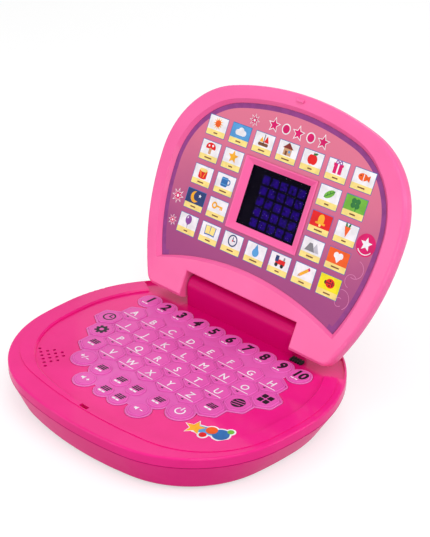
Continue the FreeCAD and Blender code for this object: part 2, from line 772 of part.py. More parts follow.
def build_bottom_case():
    """The tub: tapering wall, battery bay, membrane ribs, screw bosses, board stakes and foot seats."""
    bottom = level("case_bottom")
    top = level("skirt_bottom")
    wall = size("base_wall")
    floor = bottom + wall
    shell = tapered(bottom_outline, base_outline, 0, (bottom, top))
    for radius, z in ((size("base_bottom_round"), bottom), (size("seam_round"), top)):
        shell = shell.makeFillet(radius, [edge for edge in shell.Edges if on_level(edge, z)])
    tongue_room = top - size("tongue_depth") - size("fit_clearance")
    far = 2 * level("base_half_width")
    cavity = tapered(bottom_outline, base_outline, wall, (bottom, tongue_room))
    cavity = cavity.cut(block((-far, far), (-far, far), (0, floor)))
    shell = shell.cut([cavity, base_outline.prism(wall, (tongue_room, top + OVERCUT))])
    half_length = level("bay_half_length")
    half_width = level("bay_half_width")
    bay_y = level("bay_y")
    reach = size("bay_wall")
    additions = [block(
        (-half_length - reach, half_length + reach),
        (bay_y - half_width - reach, bay_y + half_width + reach),
        (bottom, level("bay_ceiling") + size("bay_roof")),
    )]
    cuts = [block(
        (-half_length, half_length),
        (bay_y - half_width, bay_y + half_width),
        (bottom - OVERCUT, level("bay_ceiling")),
    )]
    ledge = size("door_ledge") + size("door_clearance")
    cuts.append(block(
        (-half_length - ledge, half_length + ledge),
        (bay_y - half_width - ledge, bay_y + half_width + ledge),
        (bottom - OVERCUT, bottom + size("door_thickness")),
    ))
    additions.append(block(
        (-half_length - ledge - reach, half_length + ledge + reach),
        (bay_y - half_width - ledge - reach, bay_y + half_width + ledge + reach),
        (bottom, bottom + size("door_thickness") + reach),
    ))
    for step in (-1, 0, 1):
        middle = step * size("rib_pitch")
        additions.append(block(
            (middle - size("rib_thickness") / 2, middle + size("rib_thickness") / 2),
            (bay_y - half_width - reach, bay_y + half_width + reach),
            (level("bay_ceiling"), level("rib_top")),
        ))
    hole = size("screw_radius") + size("screw_clearance")
    counterbore = size("screw_head_radius") + size("screw_clearance")
    boss_top = bottom + size("boss_height")
    seat = bottom + size("boss_seat")
    for x, y in spots(CASE_SCREWS):
        additions.append(post(counterbore + size("boss_wall"), x, y, (bottom, boss_top)))
        cuts.append(post(counterbore, x, y, (bottom - OVERCUT, seat)))
        cuts.append(post(hole, x, y, (bottom, boss_top + OVERCUT)))
    door_x = level("door_screw_x")
    thread = size("screw_radius") + size("thread_clearance")
    thread_top = bottom + size("door_seat") + size("door_screw_length") + size("cell_gap")
    door_boss = (bottom + size("door_thickness"), thread_top + size("boss_wall"))
    additions.append(post(size("post_radius"), door_x, bay_y, door_boss))
    cuts.append(post(thread, door_x, bay_y, (bottom, thread_top)))
    board_top = size("board_level") + size("board_thickness")
    for x, y in board_stakes():
        root = bottom + wall / 2
        additions.append(post(size("stake_radius"), x, y, (root, size("board_level"))))
        additions.append(post(size("stake_pin_radius"), x, y, (root, board_top + size("stake_rise"))))
    for x, y in spots(FEET):
        seat_radius = size("foot_radius") + size("fit_clearance")
        cuts.append(post(seat_radius, x, y, (bottom - OVERCUT, bottom + size("foot_seat"))))
    shaped("base_bottom_case", shell.fuse(additions).cut(cuts).removeSplitter())


def grille_places():
    """The speaker holes on a slanted square lattice."""
    turn = math.radians(size("grille_angle"))
    step = Vector(math.cos(turn), math.sin(turn), 0) * size("grille_pitch")
    across = Vector(-step.y, step.x, 0)
    widest = max(start + count for start, count in GRILLE_LINES)
    middle = step * ((widest - 1) / 2) + across * ((len(GRILLE_LINES) - 1) / 2)
    first = Vector(size("grille_x"), level("grille_y"), 0) - middle
    return [
        first + step * (start + index) + across * line
        for line, (start, count) in enumerate(GRILLE_LINES)
        for index in range(count)
    ]


def build_barrel():
    """The hinge barrel on its pedestal, hollow from below, with a pin hole at each end."""
    radius = size("barrel_radius")
    half = size("barrel_half")
    axis = (level("axis_y"), level("axis_z"))
    barrel = rod(radius, (-half, half), *axis)
    rims = [edge for edge in barrel.Edges if isinstance(edge.Curve, Part.Circle)]
    barrel = barrel.makeFillet(size("barrel_round"), rims)
    pedestal = block((-half, half), (axis[0] - radius, axis[0] + radius), (level("seam"), axis[1]))
    uprights = [
        edge for edge in pedestal.Edges
        if edge.BoundBox.ZLength > OVERCUT
    ]
    pedestal = pedestal.makeFillet(size("barrel_round"), uprights)
    inner = radius - size("barrel_wall")
    inner_half = half - size("pin_grip")
    hollow = rod(inner, (-inner_half, inner_half), *axis).fuse(block(
        (-inner_half, inner_half), (axis[0] - inner, axis[0] + inner), (level("seam") - OVERCUT, axis[1])))
    hollow = hollow.fuse(rod(size("pin_radius"), (-half - OVERCUT, half + OVERCUT), *axis))
    return barrel.fuse(pedestal), hollow


def recess_cutter(top):
    """The deck's recess, flared at the edge of the rim."""
    flare = size("recess_flare")
    rim_top = level("rim_top")
    pit = recess_outline.prism(0, (level("deck_top"), top))
    return pit.fuse(Part.makeLoft(
        [recess_outline.wire(0, rim_top - flare), recess_outline.wire(-flare, rim_top)], True, True))


def ear_wells(grow, z_range):
    """What comes out of the deck at its rear corners, where the lid's ears turn inside the outer wall."""
    far = 2 * level("base_half_width")
    room = base_outline.prism(size("well_wall"), z_range)
    start = level("axis_y") - level("ear_radius") - grow
    reach = size("well_reach") + grow / math.cos(math.radians(size("well_angle")))
    wells = []
    for side in (-1, 1):
        rear = block((-far, far), (0, far), (0, z_range[1] - z_range[0]))
        corner = Vector(side * size("well_x"), level("base_rear") - reach, z_range[0])
        rear.Placement = Placement(corner, Rotation(Z_AXIS, side * size("well_angle")))
        outer = block(sorted((side * (level("notch_half") - grow), side * far)), (start, far), z_range)
        wells.append(room.common(rear).common(outer))
    return wells


def build_top_cover(keys):
    """The deck: stepped rim with a skirt, recess, ear wells, keypad pocket, grille, latch slot and barrel."""
    seam = level("seam")
    skirt = level("skirt_bottom")
    rim_top = level("rim_top")
    ceiling = rim_top - size("cover_wall")
    above = rim_top + OVERCUT
    step = rim_top - size("plateau_rise")
    cover = base_outline.rounded(0, (skirt, step), size("seam_round"), size("rim_round"))
    cover = cover.cut(base_outline.prism(size("base_wall"), (skirt - OVERCUT, seam)))
    cover = cover.fuse(plateau_outline.prism(0, (seam, rim_top)))
    hollow_range = (seam - OVERCUT, ceiling)
    under_rim = base_outline.prism(size("base_wall"), hollow_range)
    plates = ear_wells(size("cover_wall"), hollow_range)
    plates.append(recess_outline.prism(-size("cover_wall"), hollow_range))
    under_rim = under_rim.cut(plates)
    cover = cover.cut([under_rim, recess_cutter(above)])
    tongue_out = size("base_wall") + size("fit_clearance")
    tongue_range = (skirt - size("tongue_depth"), ceiling)
    tongue = base_outline.prism(tongue_out, tongue_range)
    tongue = tongue.cut(base_outline.prism(tongue_out + size("tongue_width"), tongue_range))
    additions = [tongue]
    barrel, hollow = build_barrel()
    additions.append(barrel)
    cuts = [hollow] + ear_wells(0, (level("well_floor"), above))
    boss_top = level("case_bottom") + size("boss_height")
    thread = size("screw_radius") + size("thread_clearance")
    thread_top = level("case_bottom") + size("boss_seat") + size("screw_length") + size("boss_wall")
    for x, y in spots(CASE_SCREWS):
        additions.append(post(size("post_radius"), x, y, (boss_top, ceiling)))
        cuts.append(post(thread, x, y, (boss_top - OVERCUT, min(thread_top, seam))))
    speaker = (size("speaker_x"), level("speaker_y"))
    ring_inner = size("speaker_radius") + size("fit_clearance")
    ring_range = (seam - size("speaker_frame"), seam)
    ring = post(ring_inner + size("speaker_ring"), *speaker, ring_range)
    additions.append(ring.cut(post(ring_inner, *speaker, ring_range)))
    for hole in grille_places():
        cuts.append(post(size("grille_radius"), hole.x, hole.y, (seam - OVERCUT, above)))
    slot_half_length = size("nub_length") / 2 + size("slot_clearance")
    slot_half_width = size("nub_width") / 2 + size("slot_clearance")
    slot_bottom = rim_top - size("nub_height") - size("slot_clearance")
    cuts.append(block(
        (-slot_half_length, slot_half_length),
        (level("slot_y") - slot_half_width, level("slot_y") + slot_half_width),
        (slot_bottom, above),
    ))
    pocket = keypad_plan(keys, size("sheet_clearance"))
    cuts.append(raise_face(pocket, (level("pocket_floor"), above)))
    for key in keys:
        middle = key.cap.Placement.Base
        hole = size("stem_radius") + size("stem_clearance")
        cuts.append(post(hole, middle.x, middle.y, (seam - OVERCUT, above)))
    root = (size("sleeve_length") / 2 - size("sleeve_root"), size("sleeve_width") / 2 - size("sleeve_root"))
    sleeve_x = level("sleeve_x") + size("sleeve_length") / 2
    cuts.append(block(
        (sleeve_x - root[0], sleeve_x + root[0]),
        (level("sleeve_y") - root[1], level("sleeve_y") + root[1]),
        (seam - OVERCUT, above),
    ))
    shaped("base_top_cover", cover.fuse(additions).cut(cuts).removeSplitter())


def panel_wire(grow, z):
    """The picture panel's outline: a crown, two tapering sides and a bottom that arches upwards."""
    edges = panel_outline.crown_arcs(-grow, z)
    half = level("panel_half_width") + grow
    foot = (half - size("panel_taper"), size("panel_corner_y") - grow)
    drop = size("panel_widest") - foot[1]
    radius = (drop ** 2 + size("panel_taper") ** 2) / (2 * size("panel_taper"))
    turn = -math.asin(drop / radius)
    for side in (-1, 1):
        edges.append(panel_outline.arc(side, (half - radius, 0), radius, 0, turn, z))
    crest = Vector(0, size("panel_bottom_y") - grow, z)
    arch = Part.Arc(Vector(-foot[0], foot[1], z), crest, Vector(foot[0], foot[1], z))
    edges.append(arch.toShape())
    return Part.Wire(Part.__sortEdges__(edges))


def display_block(half_width, half_height, z_range):
    """A block centred on the display."""
    middle = size("display_y")
    return block((-half_width, half_width), (middle - half_height, middle + half_height), z_range)


def display_wire(half_width, half_height, z):
    """A rectangle centred on the display."""
    middle = size("display_y")
    corners = [
        Vector(i * half_width, middle + j * half_height, z)
        for i, j in ((-1, -1), (1, -1), (1, 1), (-1, 1), (-1, -1))
    ]
    return Part.makePolygon(corners)


def ear_trims():
    """What comes off both lid shells: the notch round the barrel and the outside of the ears' curve."""
    far = level("lid_half_width") + OVERCUT
    deep = level("ear_radius") + level("lid_heel")
    notch = block((-level("notch_half"), level("notch_half")), (-deep, level("notch_top")), (-deep, deep))
    below = block((-far, far), (-deep, 0), (-deep, deep))
    return [notch, below.cut(rod(level("ear_radius"), (-far, far), 0, 0))]


def on_notch_front(edge):
    """Whether an edge borders the barrel's notch on the lid's front face."""
    bounds = edge.BoundBox
    between = max(-bounds.XMin, bounds.XMax) - level("notch_half") < FITTING
    below = bounds.YMax - level("notch_top") < FITTING
    return on_level(edge, size("lid_front_offset")) and between and below


def build_front_frame():
    """The lid's front shell: rim, panel recess, display funnel, latch nub and screw posts."""
    seam = level("lid_seam")
    front = size("lid_front_offset")
    frame = lid_outline.rounded(0, (seam, front), size("lid_seam_round"), size("lid_front_round"))
    gap = size("panel_clearance")
    recess = raise_wire(panel_wire(gap, level("panel_back")), (level("panel_back"), front + OVERCUT))
    slope = Part.makeLoft(
        [panel_wire(gap, level("panel_face")), panel_wire(gap + size("panel_depth"), front)], True, True)
    frame = frame.cut([recess, slope] + ear_trims())
    frame = frame.makeFillet(size("notch_round"), [edge for edge in frame.Edges if on_notch_front(edge)])
    island_top = level("panel_face") + size("island_rise")
    island = display_block(size("island_half_width"), size("island_half_height"), (seam, island_top))
    nub_half = size("nub_length") / 2
    nub = block(
        (-nub_half, nub_half),
        (level("nub_y") - size("nub_width") / 2, level("nub_y") + size("nub_width") / 2),
        (seam + size("nub_width"), front + size("nub_height")),
    )
    tip = [edge for edge in nub.Edges if edge.BoundBox.ZMax > front]
    nub = nub.makeFillet(size("nub_width") / 4, tip)
    lip = size("island_lip")
    funnel = Part.makeLoft([
        display_wire(size("window_half_width"), size("window_half_height"), seam),
        display_wire(size("island_half_width") - lip, size("island_half_height") - lip, island_top),
    ], True, True)
    additions = [island, nub]
    cuts = [funnel]
    thread = size("lid_screw_radius") + size("thread_clearance")
    for x, y in spots(LID_SCREWS):
        additions.append(post(size("post_radius"), x, y, (size("lid_boss_level"), seam)))
        cuts.append(post(thread, x, y, (size("lid_boss_level") - OVERCUT, seam)))
    hang_on_lid(shaped("lid_front_frame", frame.fuse(additions).cut(cuts).removeSplitter()))


def build_back_cover():
    """The lid's back shell: a shallow tub with a knuckle bored for the hinge pin in each ear."""
    seam = level("lid_seam")
    back = level("lid_back")
    wall = size("lid_wall")
    shell = lid_outline.rounded(0, (back, seam), size("lid_back_round"), size("lid_seam_round"))
    inner_round = size("lid_back_round") - wall
    cavity = lid_outline.rounded(wall, (back + wall, seam + OVERCUT), inner_round, 0)
    deep = level("ear_radius") + level("lid_heel")
    far = level("lid_half_width")
    walls = [
        block((-level("notch_half") - wall, level("notch_half") + wall),
              (-deep, level("notch_top") + wall), (-deep, deep)),
        block((-far, far), (-deep, 2 * wall - size("ear_drop")), (-deep, deep)),
    ]
    trims = ear_trims()
    shell = shell.cut([cavity.cut(walls)] + trims)
    additions = []
    cuts = []
    start = level("notch_half")
    bore_end = size("barrel_half") + size("pin_reach") + size("ear_side_gap") + size("pin_clearance")
    for side in (-1, 1):
        knuckle = sorted((side * start, side * (start + size("knuckle_length"))))
        bore = sorted((side * (start - OVERCUT), side * bore_end))
        additions.append(rod(size("knuckle_radius"), knuckle, 0, 0))
        cuts.append(rod(size("pin_radius") + size("pin_clearance"), bore, 0, 0))
    hole = size("lid_screw_radius") + size("screw_clearance")
    counterbore = size("screw_head_radius") + size("screw_clearance")
    for x, y in spots(LID_SCREWS):
        boss = (back + wall / 2, size("lid_boss_level"))
        additions.append(post(counterbore + size("boss_wall"), x, y, boss))
        cuts.append(post(counterbore, x, y, (back - OVERCUT, back + size("lid_boss_seat"))))
        cuts.append(post(hole, x, y, (back, seam)))
    shell = shell.fuse(additions).cut(cuts + trims[:1]).removeSplitter()
    hang_on_lid(shaped("lid_back_cover", shell))


def build_picture_panel():
    """The printed panel that lies in the frame's recess, open round the display."""
    panel = raise_wire(panel_wire(0, level("panel_back")), (level("panel_back"), level("panel_face")))
    gap = size("panel_clearance")
    opening = display_block(
        size("island_half_width") + gap, size("island_half_height") + gap,
        (level("panel_back") - OVERCUT, level("panel_face") + OVERCUT))
    hang_on_lid(shaped("picture_panel", panel.cut(opening)))


def plate_body(name, length, width, thickness, middle_y, underside):
    """A flat plate padded from a rectangle that is centred on its own axis."""
    body = doc.addObject("PartDesign::Body", name)
    sketch = body.newObject("Sketcher::SketchObject", f"{name}_outline")
    plane = [item for item in body.Origin.OriginFeatures if item.Role == "XY_Plane"][0]
    sketch.AttachmentSupport = (plane, "")
    sketch.MapMode = "FlatFace"
    corners = [Vector(i, j, 0) for i, j in ((-1, -1), (1, -1), (1, 1), (-1, 1))]
    for index, corner in enumerate(corners):
        sketch.addGeometry(Part.LineSegment(corner, corners[(index + 1) % 4]), False)
    for index in range(4):
        sketch.addConstraint(Sketcher.Constraint("Coincident", index, 2, (index + 1) % 4, 1))
        sketch.addConstraint(Sketcher.Constraint("Vertical" if index % 2 else "Horizontal", index))
    sketch.addConstraint(Sketcher.Constraint("Symmetric", 0, 1, 1, 2, -1, 1))
    across = sketch.addConstraint(Sketcher.Constraint("DistanceX", 0, 1, 0, 2, 2))
    along = sketch.addConstraint(Sketcher.Constraint("DistanceY", 1, 1, 1, 2, 2))
    sketch.setExpression(f"Constraints[{across}]", length)
    sketch.setExpression(f"Constraints[{along}]", width)
    pad = body.newObject("PartDesign::Pad", f"{name}_pad")
    pad.Profile = sketch
    pad.setExpression("Length", thickness)
    bind(body, y=middle_y, z=underside)
    return body


def build_display():
    """The clear window behind the funnel and the display module that backs it."""
    widths = "2 * (Sizes.window_half_width + Sizes.{0})"
    heights = "2 * (Sizes.window_half_height + Sizes.{0})"
    window_level = "Levels.lid_seam - Sizes.glass_thickness"
    module_level = f"{window_level} - Sizes.module_thickness"
    window = box("Window", widths.format("glass_margin"), heights.format("glass_margin"),
                 "Sizes.glass_thickness", "0", "Sizes.display_y", window_level)
    module = box("Module", widths.format("module_margin"), heights.format("module_margin"),
                 "Sizes.module_thickness", "0", "Sizes.display_y", module_level)
    hang_on_lid(keep(group("DisplayWindow", [window]), "display_window"))
    hang_on_lid(keep(group("DisplayModule", [module]), "display_module"))


def build_hinge_pins():
    """The two steel pins, pressed into the barrel's ends and turning in the lid's ears."""
    length = "Sizes.pin_grip + Sizes.ear_side_gap + Sizes.pin_reach"
    axis = ("Levels.axis_y", "Levels.axis_z")
    pins = []
    for side, start in (("left", "-Sizes.barrel_half - Sizes.ear_side_gap - Sizes.pin_reach"),
                        ("right", "Sizes.barrel_half - Sizes.pin_grip")):
        pins.append(lying(f"pin_{side}", "Sizes.pin_radius", length, start, *axis))
    keep(group("HingePins", pins), "hinge_pins")


def build_cable_sleeve():
    """The black sleeve that carries the display leads up through the deck."""
    x = "Levels.sleeve_x + Sizes.sleeve_length / 2"
    head = box("sleeve_head", "Sizes.sleeve_length", "Sizes.sleeve_width", "Sizes.sleeve_height",
               x, "Levels.sleeve_y", "Levels.well_floor")
    root = box("sleeve_root_block", "Sizes.sleeve_length - 2 * Sizes.sleeve_root - 2 * Sizes.fit_clearance",
               "Sizes.sleeve_width - 2 * Sizes.sleeve_root - 2 * Sizes.fit_clearance",
               "Levels.well_floor - Levels.seam", x, "Levels.sleeve_y", "Levels.seam")
    keep(fuse("CableSleeve", head, root), "cable_sleeve")


def build_speaker():
    """The loudspeaker: a round frame under the grille with its magnet below."""
    x = "Sizes.speaker_x"
    y = "Levels.speaker_y"
    frame = upright("speaker_rim", "Sizes.speaker_radius", "Sizes.speaker_frame",
                    x, y, "Levels.seam - Sizes.speaker_frame")
    magnet = upright("speaker_magnet", "Sizes.magnet_radius", "Sizes.magnet_height",
                     x, y, "Levels.seam - Sizes.speaker_frame - Sizes.magnet_height")
    keep(fuse("Speaker", frame, magnet), "speaker")


def build_circuit_board():
    """The main board with a round chip blob, held on four stakes."""
    board = box("board_plate", "Sizes.board_length", "Sizes.board_width", "Sizes.board_thickness",
                "Sizes.board_x", "Levels.board_y", "Sizes.board_level")
    chip = upright("board_chip", "Sizes.chip_radius", "Sizes.chip_height",
                   "Sizes.board_x", "Levels.board_y", "Sizes.board_level + Sizes.board_thickness")
    holes = []
    for i in (-1, 1):
        for j in (-1, 1):
            holes.append(upright(
                f"stake_hole_{len(holes)}", "Sizes.stake_pin_radius + Sizes.fit_clearance",
                "Sizes.board_thickness",
                f"Sizes.board_x + {i} * (Sizes.board_length / 2 - Sizes.stake_inset)",
                f"Levels.board_y + {j} * (Sizes.board_width / 2 - Sizes.stake_inset)",
                "Sizes.board_level"))
    board = cut("board_drilled", board, group("stake_holes", holes))
    keep(fuse("CircuitBoard", board, chip), "main_circuit_board")


def build_batteries():
    """Three cells, laid head to tail, and the contacts at their ends."""
    cells = []
    contacts = []
    for index in (-1, 0, 1):
        y = f"Levels.bay_y + {index} * Sizes.cell_pitch"
        heading = 1 if index % 2 else -1
        cap_start = "Sizes.cell_length / 2 - Sizes.cell_cap_length"
        body_start = "-Sizes.cell_length / 2"
        if heading < 0:
            cap_start = "-Sizes.cell_length / 2"
            body_start = "-Sizes.cell_length / 2 + Sizes.cell_cap_length"
        can = lying(f"can_{index + 1}", "Sizes.cell_radius", "Sizes.cell_length - Sizes.cell_cap_length",
                    body_start, y, "Levels.cell_z")
        cap = lying(f"cell_cap_{index + 1}", "Sizes.cell_cap_radius", "Sizes.cell_cap_length",
                    cap_start, y, "Levels.cell_z")
        cells.append(fuse(f"cell_{index + 1}", can, cap))
        for side in (-1, 1):
            end = "Levels.bay_half_length" if side > 0 else "-Levels.bay_half_length"
            plate = box(f"plate_{index + 1}_{side + 1}", "Sizes.contact_thickness", "Sizes.contact_size",
                        "Sizes.contact_size", f"{end} - {side} * Sizes.contact_thickness / 2", y,
                        "Levels.cell_z - Sizes.contact_size / 2")
            start = "-Levels.bay_half_length + Sizes.contact_thickness"
            if side > 0:
                start = "Sizes.cell_length / 2"
            radius = "Sizes.cell_cap_radius" if side == heading else "Sizes.contact_size / 2.5"
            pad = lying(f"touch_{index + 1}_{side + 1}", radius, "Sizes.contact_length",
                        start, y, "Levels.cell_z")
            contacts.append(fuse(f"contact_{index + 1}_{side + 1}", plate, pad))
    keep(group("BatteryCells", cells), "battery_cells")
    keep(group("BatteryContacts", contacts), "battery_contacts")


def build_battery_door():
    """The flush door under the cells, with a hole for its screw."""
    door = plate_body("Door", "2 * (Levels.bay_half_length + Sizes.door_ledge)",
                      "2 * (Levels.bay_half_width + Sizes.door_ledge)", "Sizes.door_thickness",
                      "Levels.bay_y", "Levels.case_bottom")
    place = ("Levels.door_screw_x", "Levels.bay_y", "Levels.case_bottom")
    around = "Sizes.{0} + Sizes.screw_clearance"
    hole = upright("door_hole", around.format("screw_radius"), "Sizes.door_thickness", *place)
    sink = upright("door_sink", around.format("screw_head_radius"), "Sizes.door_seat", *place)
    keep(cut("BatteryDoor", door, fuse("door_bore", hole, sink)), "battery_door")


def screw(name, shank, length, x, y, seat):
    """A pan-head screw that points up from its seat."""
    head = upright(f"{name}_head", "Sizes.screw_head_radius", "Sizes.screw_head_height",
                   x, y, f"{seat} - Sizes.screw_head_height")
    stem = upright(f"{name}_shank", shank, length, x, y, seat)
    return fuse(name, head, stem)


def build_screws():
    """The case screws with the door's own, and the lid screws."""
    case_seat = "(Levels.case_bottom + Sizes.boss_seat)"
    case = [
        screw(f"case_screw_{index}", "Sizes.screw_radius", "Sizes.screw_length", *spot, case_seat)
        for index, spot in enumerate(bound_spots(CASE_SCREWS))
    ]
    case.append(screw("door_screw", "Sizes.screw_radius", "Sizes.door_screw_length", "Levels.door_screw_x",
                      "Levels.bay_y", "(Levels.case_bottom + Sizes.door_seat)"))
    keep(group("CaseScrews", case), "case_screws")
    lid_seat = "(Levels.lid_back + Sizes.lid_boss_seat)"
    lid = [
        screw(f"lid_screw_{index}", "Sizes.lid_screw_radius", "Sizes.lid_screw_length", *spot, lid_seat)
        for index, spot in enumerate(bound_spots(LID_SCREWS))
    ]
    hang_on_lid(keep(group("LidScrews", lid), "lid_screws"))


def build_feet():
    """Four rubber feet let into the bottom of the case."""
    feet = [
        upright(f"foot_{index}", "Sizes.foot_radius", "Sizes.foot_height + Sizes.foot_seat", *spot, "0")
        for index, spot in enumerate(bound_spots(FEET))
    ]
    keep(group("RubberFeet", feet), "rubber_feet")


def build_all():
    """Every sub-part of the toy."""
    keys = build_keys()
    build_keypad_sheet(keys)
    build_switch_membrane(keys)
    build_bottom_case()
    build_top_cover(keys)
    build_front_frame()
    build_back_cover()
    build_picture_panel()
    build_display()
    build_hinge_pins()
    build_cable_sleeve()
    build_speaker()
    build_circuit_board()
    build_batteries()
    build_battery_door()
    build_screws()
    build_feet()
    doc.recompute()


def write_all():
    """Refuse a failed or broken shape, then write one file for each sub-part."""
    for feature in doc.Objects:
        if "Invalid" in feature.State or "Error" in feature.State:
            raise RuntimeError(f"{feature.Label} failed: {feature.State}")
    for label, feature in nodes.items():
        if feature.Shape.isNull() or not feature.Shape.isValid():
            raise RuntimeError(f"{label} has no valid shape")
    os.makedirs("parts", exist_ok=True)
    for label, feature in nodes.items():
        feature.Shape.exportStep(f"parts/{label}.step")
        print(f"{label}: {len(feature.Shape.Solids)} solid(s), {feature.Shape.Volume:.0f} mm3")


build_all()
write_all()
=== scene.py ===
"""The looks of a pink toy laptop: plastics, keypad, printed panel, display and small hardware."""

import json
import logging
import math
from dataclasses import dataclass, field, replace
from enum import Enum
from typing import Any, Iterable, Sequence

import bmesh
import bpy
from mathutils import Matrix, Vector


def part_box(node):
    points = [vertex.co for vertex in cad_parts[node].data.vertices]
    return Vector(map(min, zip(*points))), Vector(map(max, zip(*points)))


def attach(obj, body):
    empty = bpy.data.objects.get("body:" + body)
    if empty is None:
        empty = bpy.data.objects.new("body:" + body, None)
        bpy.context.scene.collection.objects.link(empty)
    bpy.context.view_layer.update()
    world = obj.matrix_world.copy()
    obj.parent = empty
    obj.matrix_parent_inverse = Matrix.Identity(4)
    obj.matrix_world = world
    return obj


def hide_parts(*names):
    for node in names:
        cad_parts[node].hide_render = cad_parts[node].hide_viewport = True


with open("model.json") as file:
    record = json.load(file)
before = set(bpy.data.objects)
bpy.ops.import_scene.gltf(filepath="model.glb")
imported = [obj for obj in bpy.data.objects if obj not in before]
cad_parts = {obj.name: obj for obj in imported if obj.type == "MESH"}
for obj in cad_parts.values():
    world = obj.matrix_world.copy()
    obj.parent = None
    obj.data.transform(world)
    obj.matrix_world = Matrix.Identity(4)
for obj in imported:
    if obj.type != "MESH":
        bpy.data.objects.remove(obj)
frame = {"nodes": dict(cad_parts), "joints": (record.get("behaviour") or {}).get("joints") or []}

LOG = logging.getLogger("toy_laptop")
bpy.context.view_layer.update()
MM = 0.001
MILLIMETRES = Matrix.Scale(MM, 4)
SHARP_ANGLE = math.radians(38.0)
FLAT_ANGLE = math.radians(1.0)
LAYER = 0.02
MERGE = 0.002
INK_SHADE = 0.93
STAR_WAIST = 0.45
MIX_FACTOR, MIX_FIRST, MIX_SECOND, MIX_RESULT = 0, 6, 7, 2

Colour = tuple[float, float, float, float]


def srgb(red: int, green: int, blue: int) -> Colour:
    """Turn a display colour into a linear one.

    Args:
        red: Red, 0 to 255.
        green: Green, 0 to 255.
        blue: Blue, 0 to 255.

    Returns:
        The linear colour with full alpha.
    """
    levels = []
    for value in (red, green, blue):
        level = value / 255.0
        levels.append(level / 12.92 if level <= 0.04045 else ((level + 0.055) / 1.055) ** 2.4)
    return (levels[0], levels[1], levels[2], 1.0)


class Wire:
    """One output of a shader node; arithmetic on it adds Math nodes."""

    def __init__(self, recipe: "Recipe", socket: bpy.types.NodeSocket) -> None:
        """Keep the recipe and the socket."""
        self.recipe = recipe
        self.socket = socket

    def maths(self, operation: str, *values: "Wire | float") -> "Wire":
        """Add a Math node whose inputs take some values in order."""
        return self.recipe.node("ShaderNodeMath", {"operation": operation}, dict(enumerate(values)))

    def __add__(self, other: "Wire | float") -> "Wire":
        """The sum."""
        return self.maths("ADD", self, other)

    def __radd__(self, other: float) -> "Wire":
        """The sum with a number first."""
        return self.maths("ADD", other, self)

    def __sub__(self, other: "Wire | float") -> "Wire":
        """The difference."""
        return self.maths("SUBTRACT", self, other)

    def __rsub__(self, other: float) -> "Wire":
        """The difference from a number."""
        return self.maths("SUBTRACT", other, self)

    def __mul__(self, other: "Wire | float") -> "Wire":
        """The product."""
        return self.maths("MULTIPLY", self, other)

    def __rmul__(self, other: float) -> "Wire":
        """The product with a number first."""
        return self.maths("MULTIPLY", other, self)

    def __truediv__(self, other: "Wire | float") -> "Wire":
        """The quotient."""
        return self.maths("DIVIDE", self, other)

    def __rtruediv__(self, other: float) -> "Wire":
        """The quotient of a number."""
        return self.maths("DIVIDE", other, self)

    def __abs__(self) -> "Wire":
        """The size without the sign."""
        return self.maths("ABSOLUTE", self)

    def fraction(self) -> "Wire":
        """What is left above the next lower whole number."""
        return self.maths("FRACT", self)

    def below(self, limit: float) -> "Wire":
        """One where the value is under a limit, and zero elsewhere."""
        return self.maths("LESS_THAN", self, limit)

    def most(self, other: "Wire | float") -> "Wire":
        """The larger of two values."""
        return self.maths("MAXIMUM", self, other)

    def least(self, other: "Wire | float") -> "Wire":
        """The smaller of two values."""
        return self.maths("MINIMUM", self, other)

    def ramp(self, low: float, high: float) -> "Wire":
        """A smooth rise from zero to one between two values."""
        limits = {"Value": self, "From Min": low, "From Max": high}
        return self.recipe.node("ShaderNodeMapRange", {"interpolation_type": "SMOOTHSTEP"}, limits)


class Recipe:
    """The node tree of one material or of the world."""

    def __init__(self, tree: bpy.types.NodeTree) -> None:
        """Start from an empty tree."""
        self.tree = tree
        self.tree.nodes.clear()

    def add(self, kind: str, settings: dict[str, Any], inputs: dict[Any, Any]) -> bpy.types.Node:
        """Add a node, give it its settings and then its sockets.

        Args:
            kind: The node's type.
            settings: The node's own properties.
            inputs: What each socket takes: a wire or a plain value.

        Returns:
            The node.
        """
        node = self.tree.nodes.new(kind)
        for name, value in settings.items():
            setattr(node, name, value)
        for name, value in inputs.items():
            if isinstance(value, Wire):
                self.tree.links.new(value.socket, node.inputs[name])
            else:
                node.inputs[name].default_value = value
        return node

    def node(
            self, kind: str, settings: dict[str, Any], inputs: dict[Any, Any], output: int | str = 0) -> Wire:
        """Add a node and take one of its outputs."""
        return Wire(self, self.add(kind, settings, inputs).outputs[output])

    def place(self) -> Wire:
        """The point on the object, in its own frame."""
        return self.node("ShaderNodeTexCoord", {}, {}, "Object")

    def noise(self, where: Wire, scale: float, detail: float = 2.0) -> Wire:
        """Cloudy noise between zero and one."""
        return self.node("ShaderNodeTexNoise", {}, {"Vector": where, "Scale": scale, "Detail": detail})

    def sway(self, where: Wire, scale: float) -> Wire:
        """Cloudy noise about zero."""
        return self.noise(where, scale) - 0.5

    def blend(self, factor: "Wire | float", first: "Wire | Colour", second: "Wire | Colour") -> Wire:
        """Mix two colours by a factor."""
        inputs = {MIX_FACTOR: factor, MIX_FIRST: first, MIX_SECOND: second}
        return self.node("ShaderNodeMix", {"data_type": "RGBA"}, inputs, MIX_RESULT)

    def along(self, where: Wire, axis: str) -> Wire:
        """One coordinate of a point."""
        return self.node("ShaderNodeSeparateXYZ", {}, {"Vector": where}, axis)

    def end(self, kind: str, shader: Wire) -> None:
        """Lead a shader to the tree's output node."""
        self.add(kind, {}, {"Surface": shader})


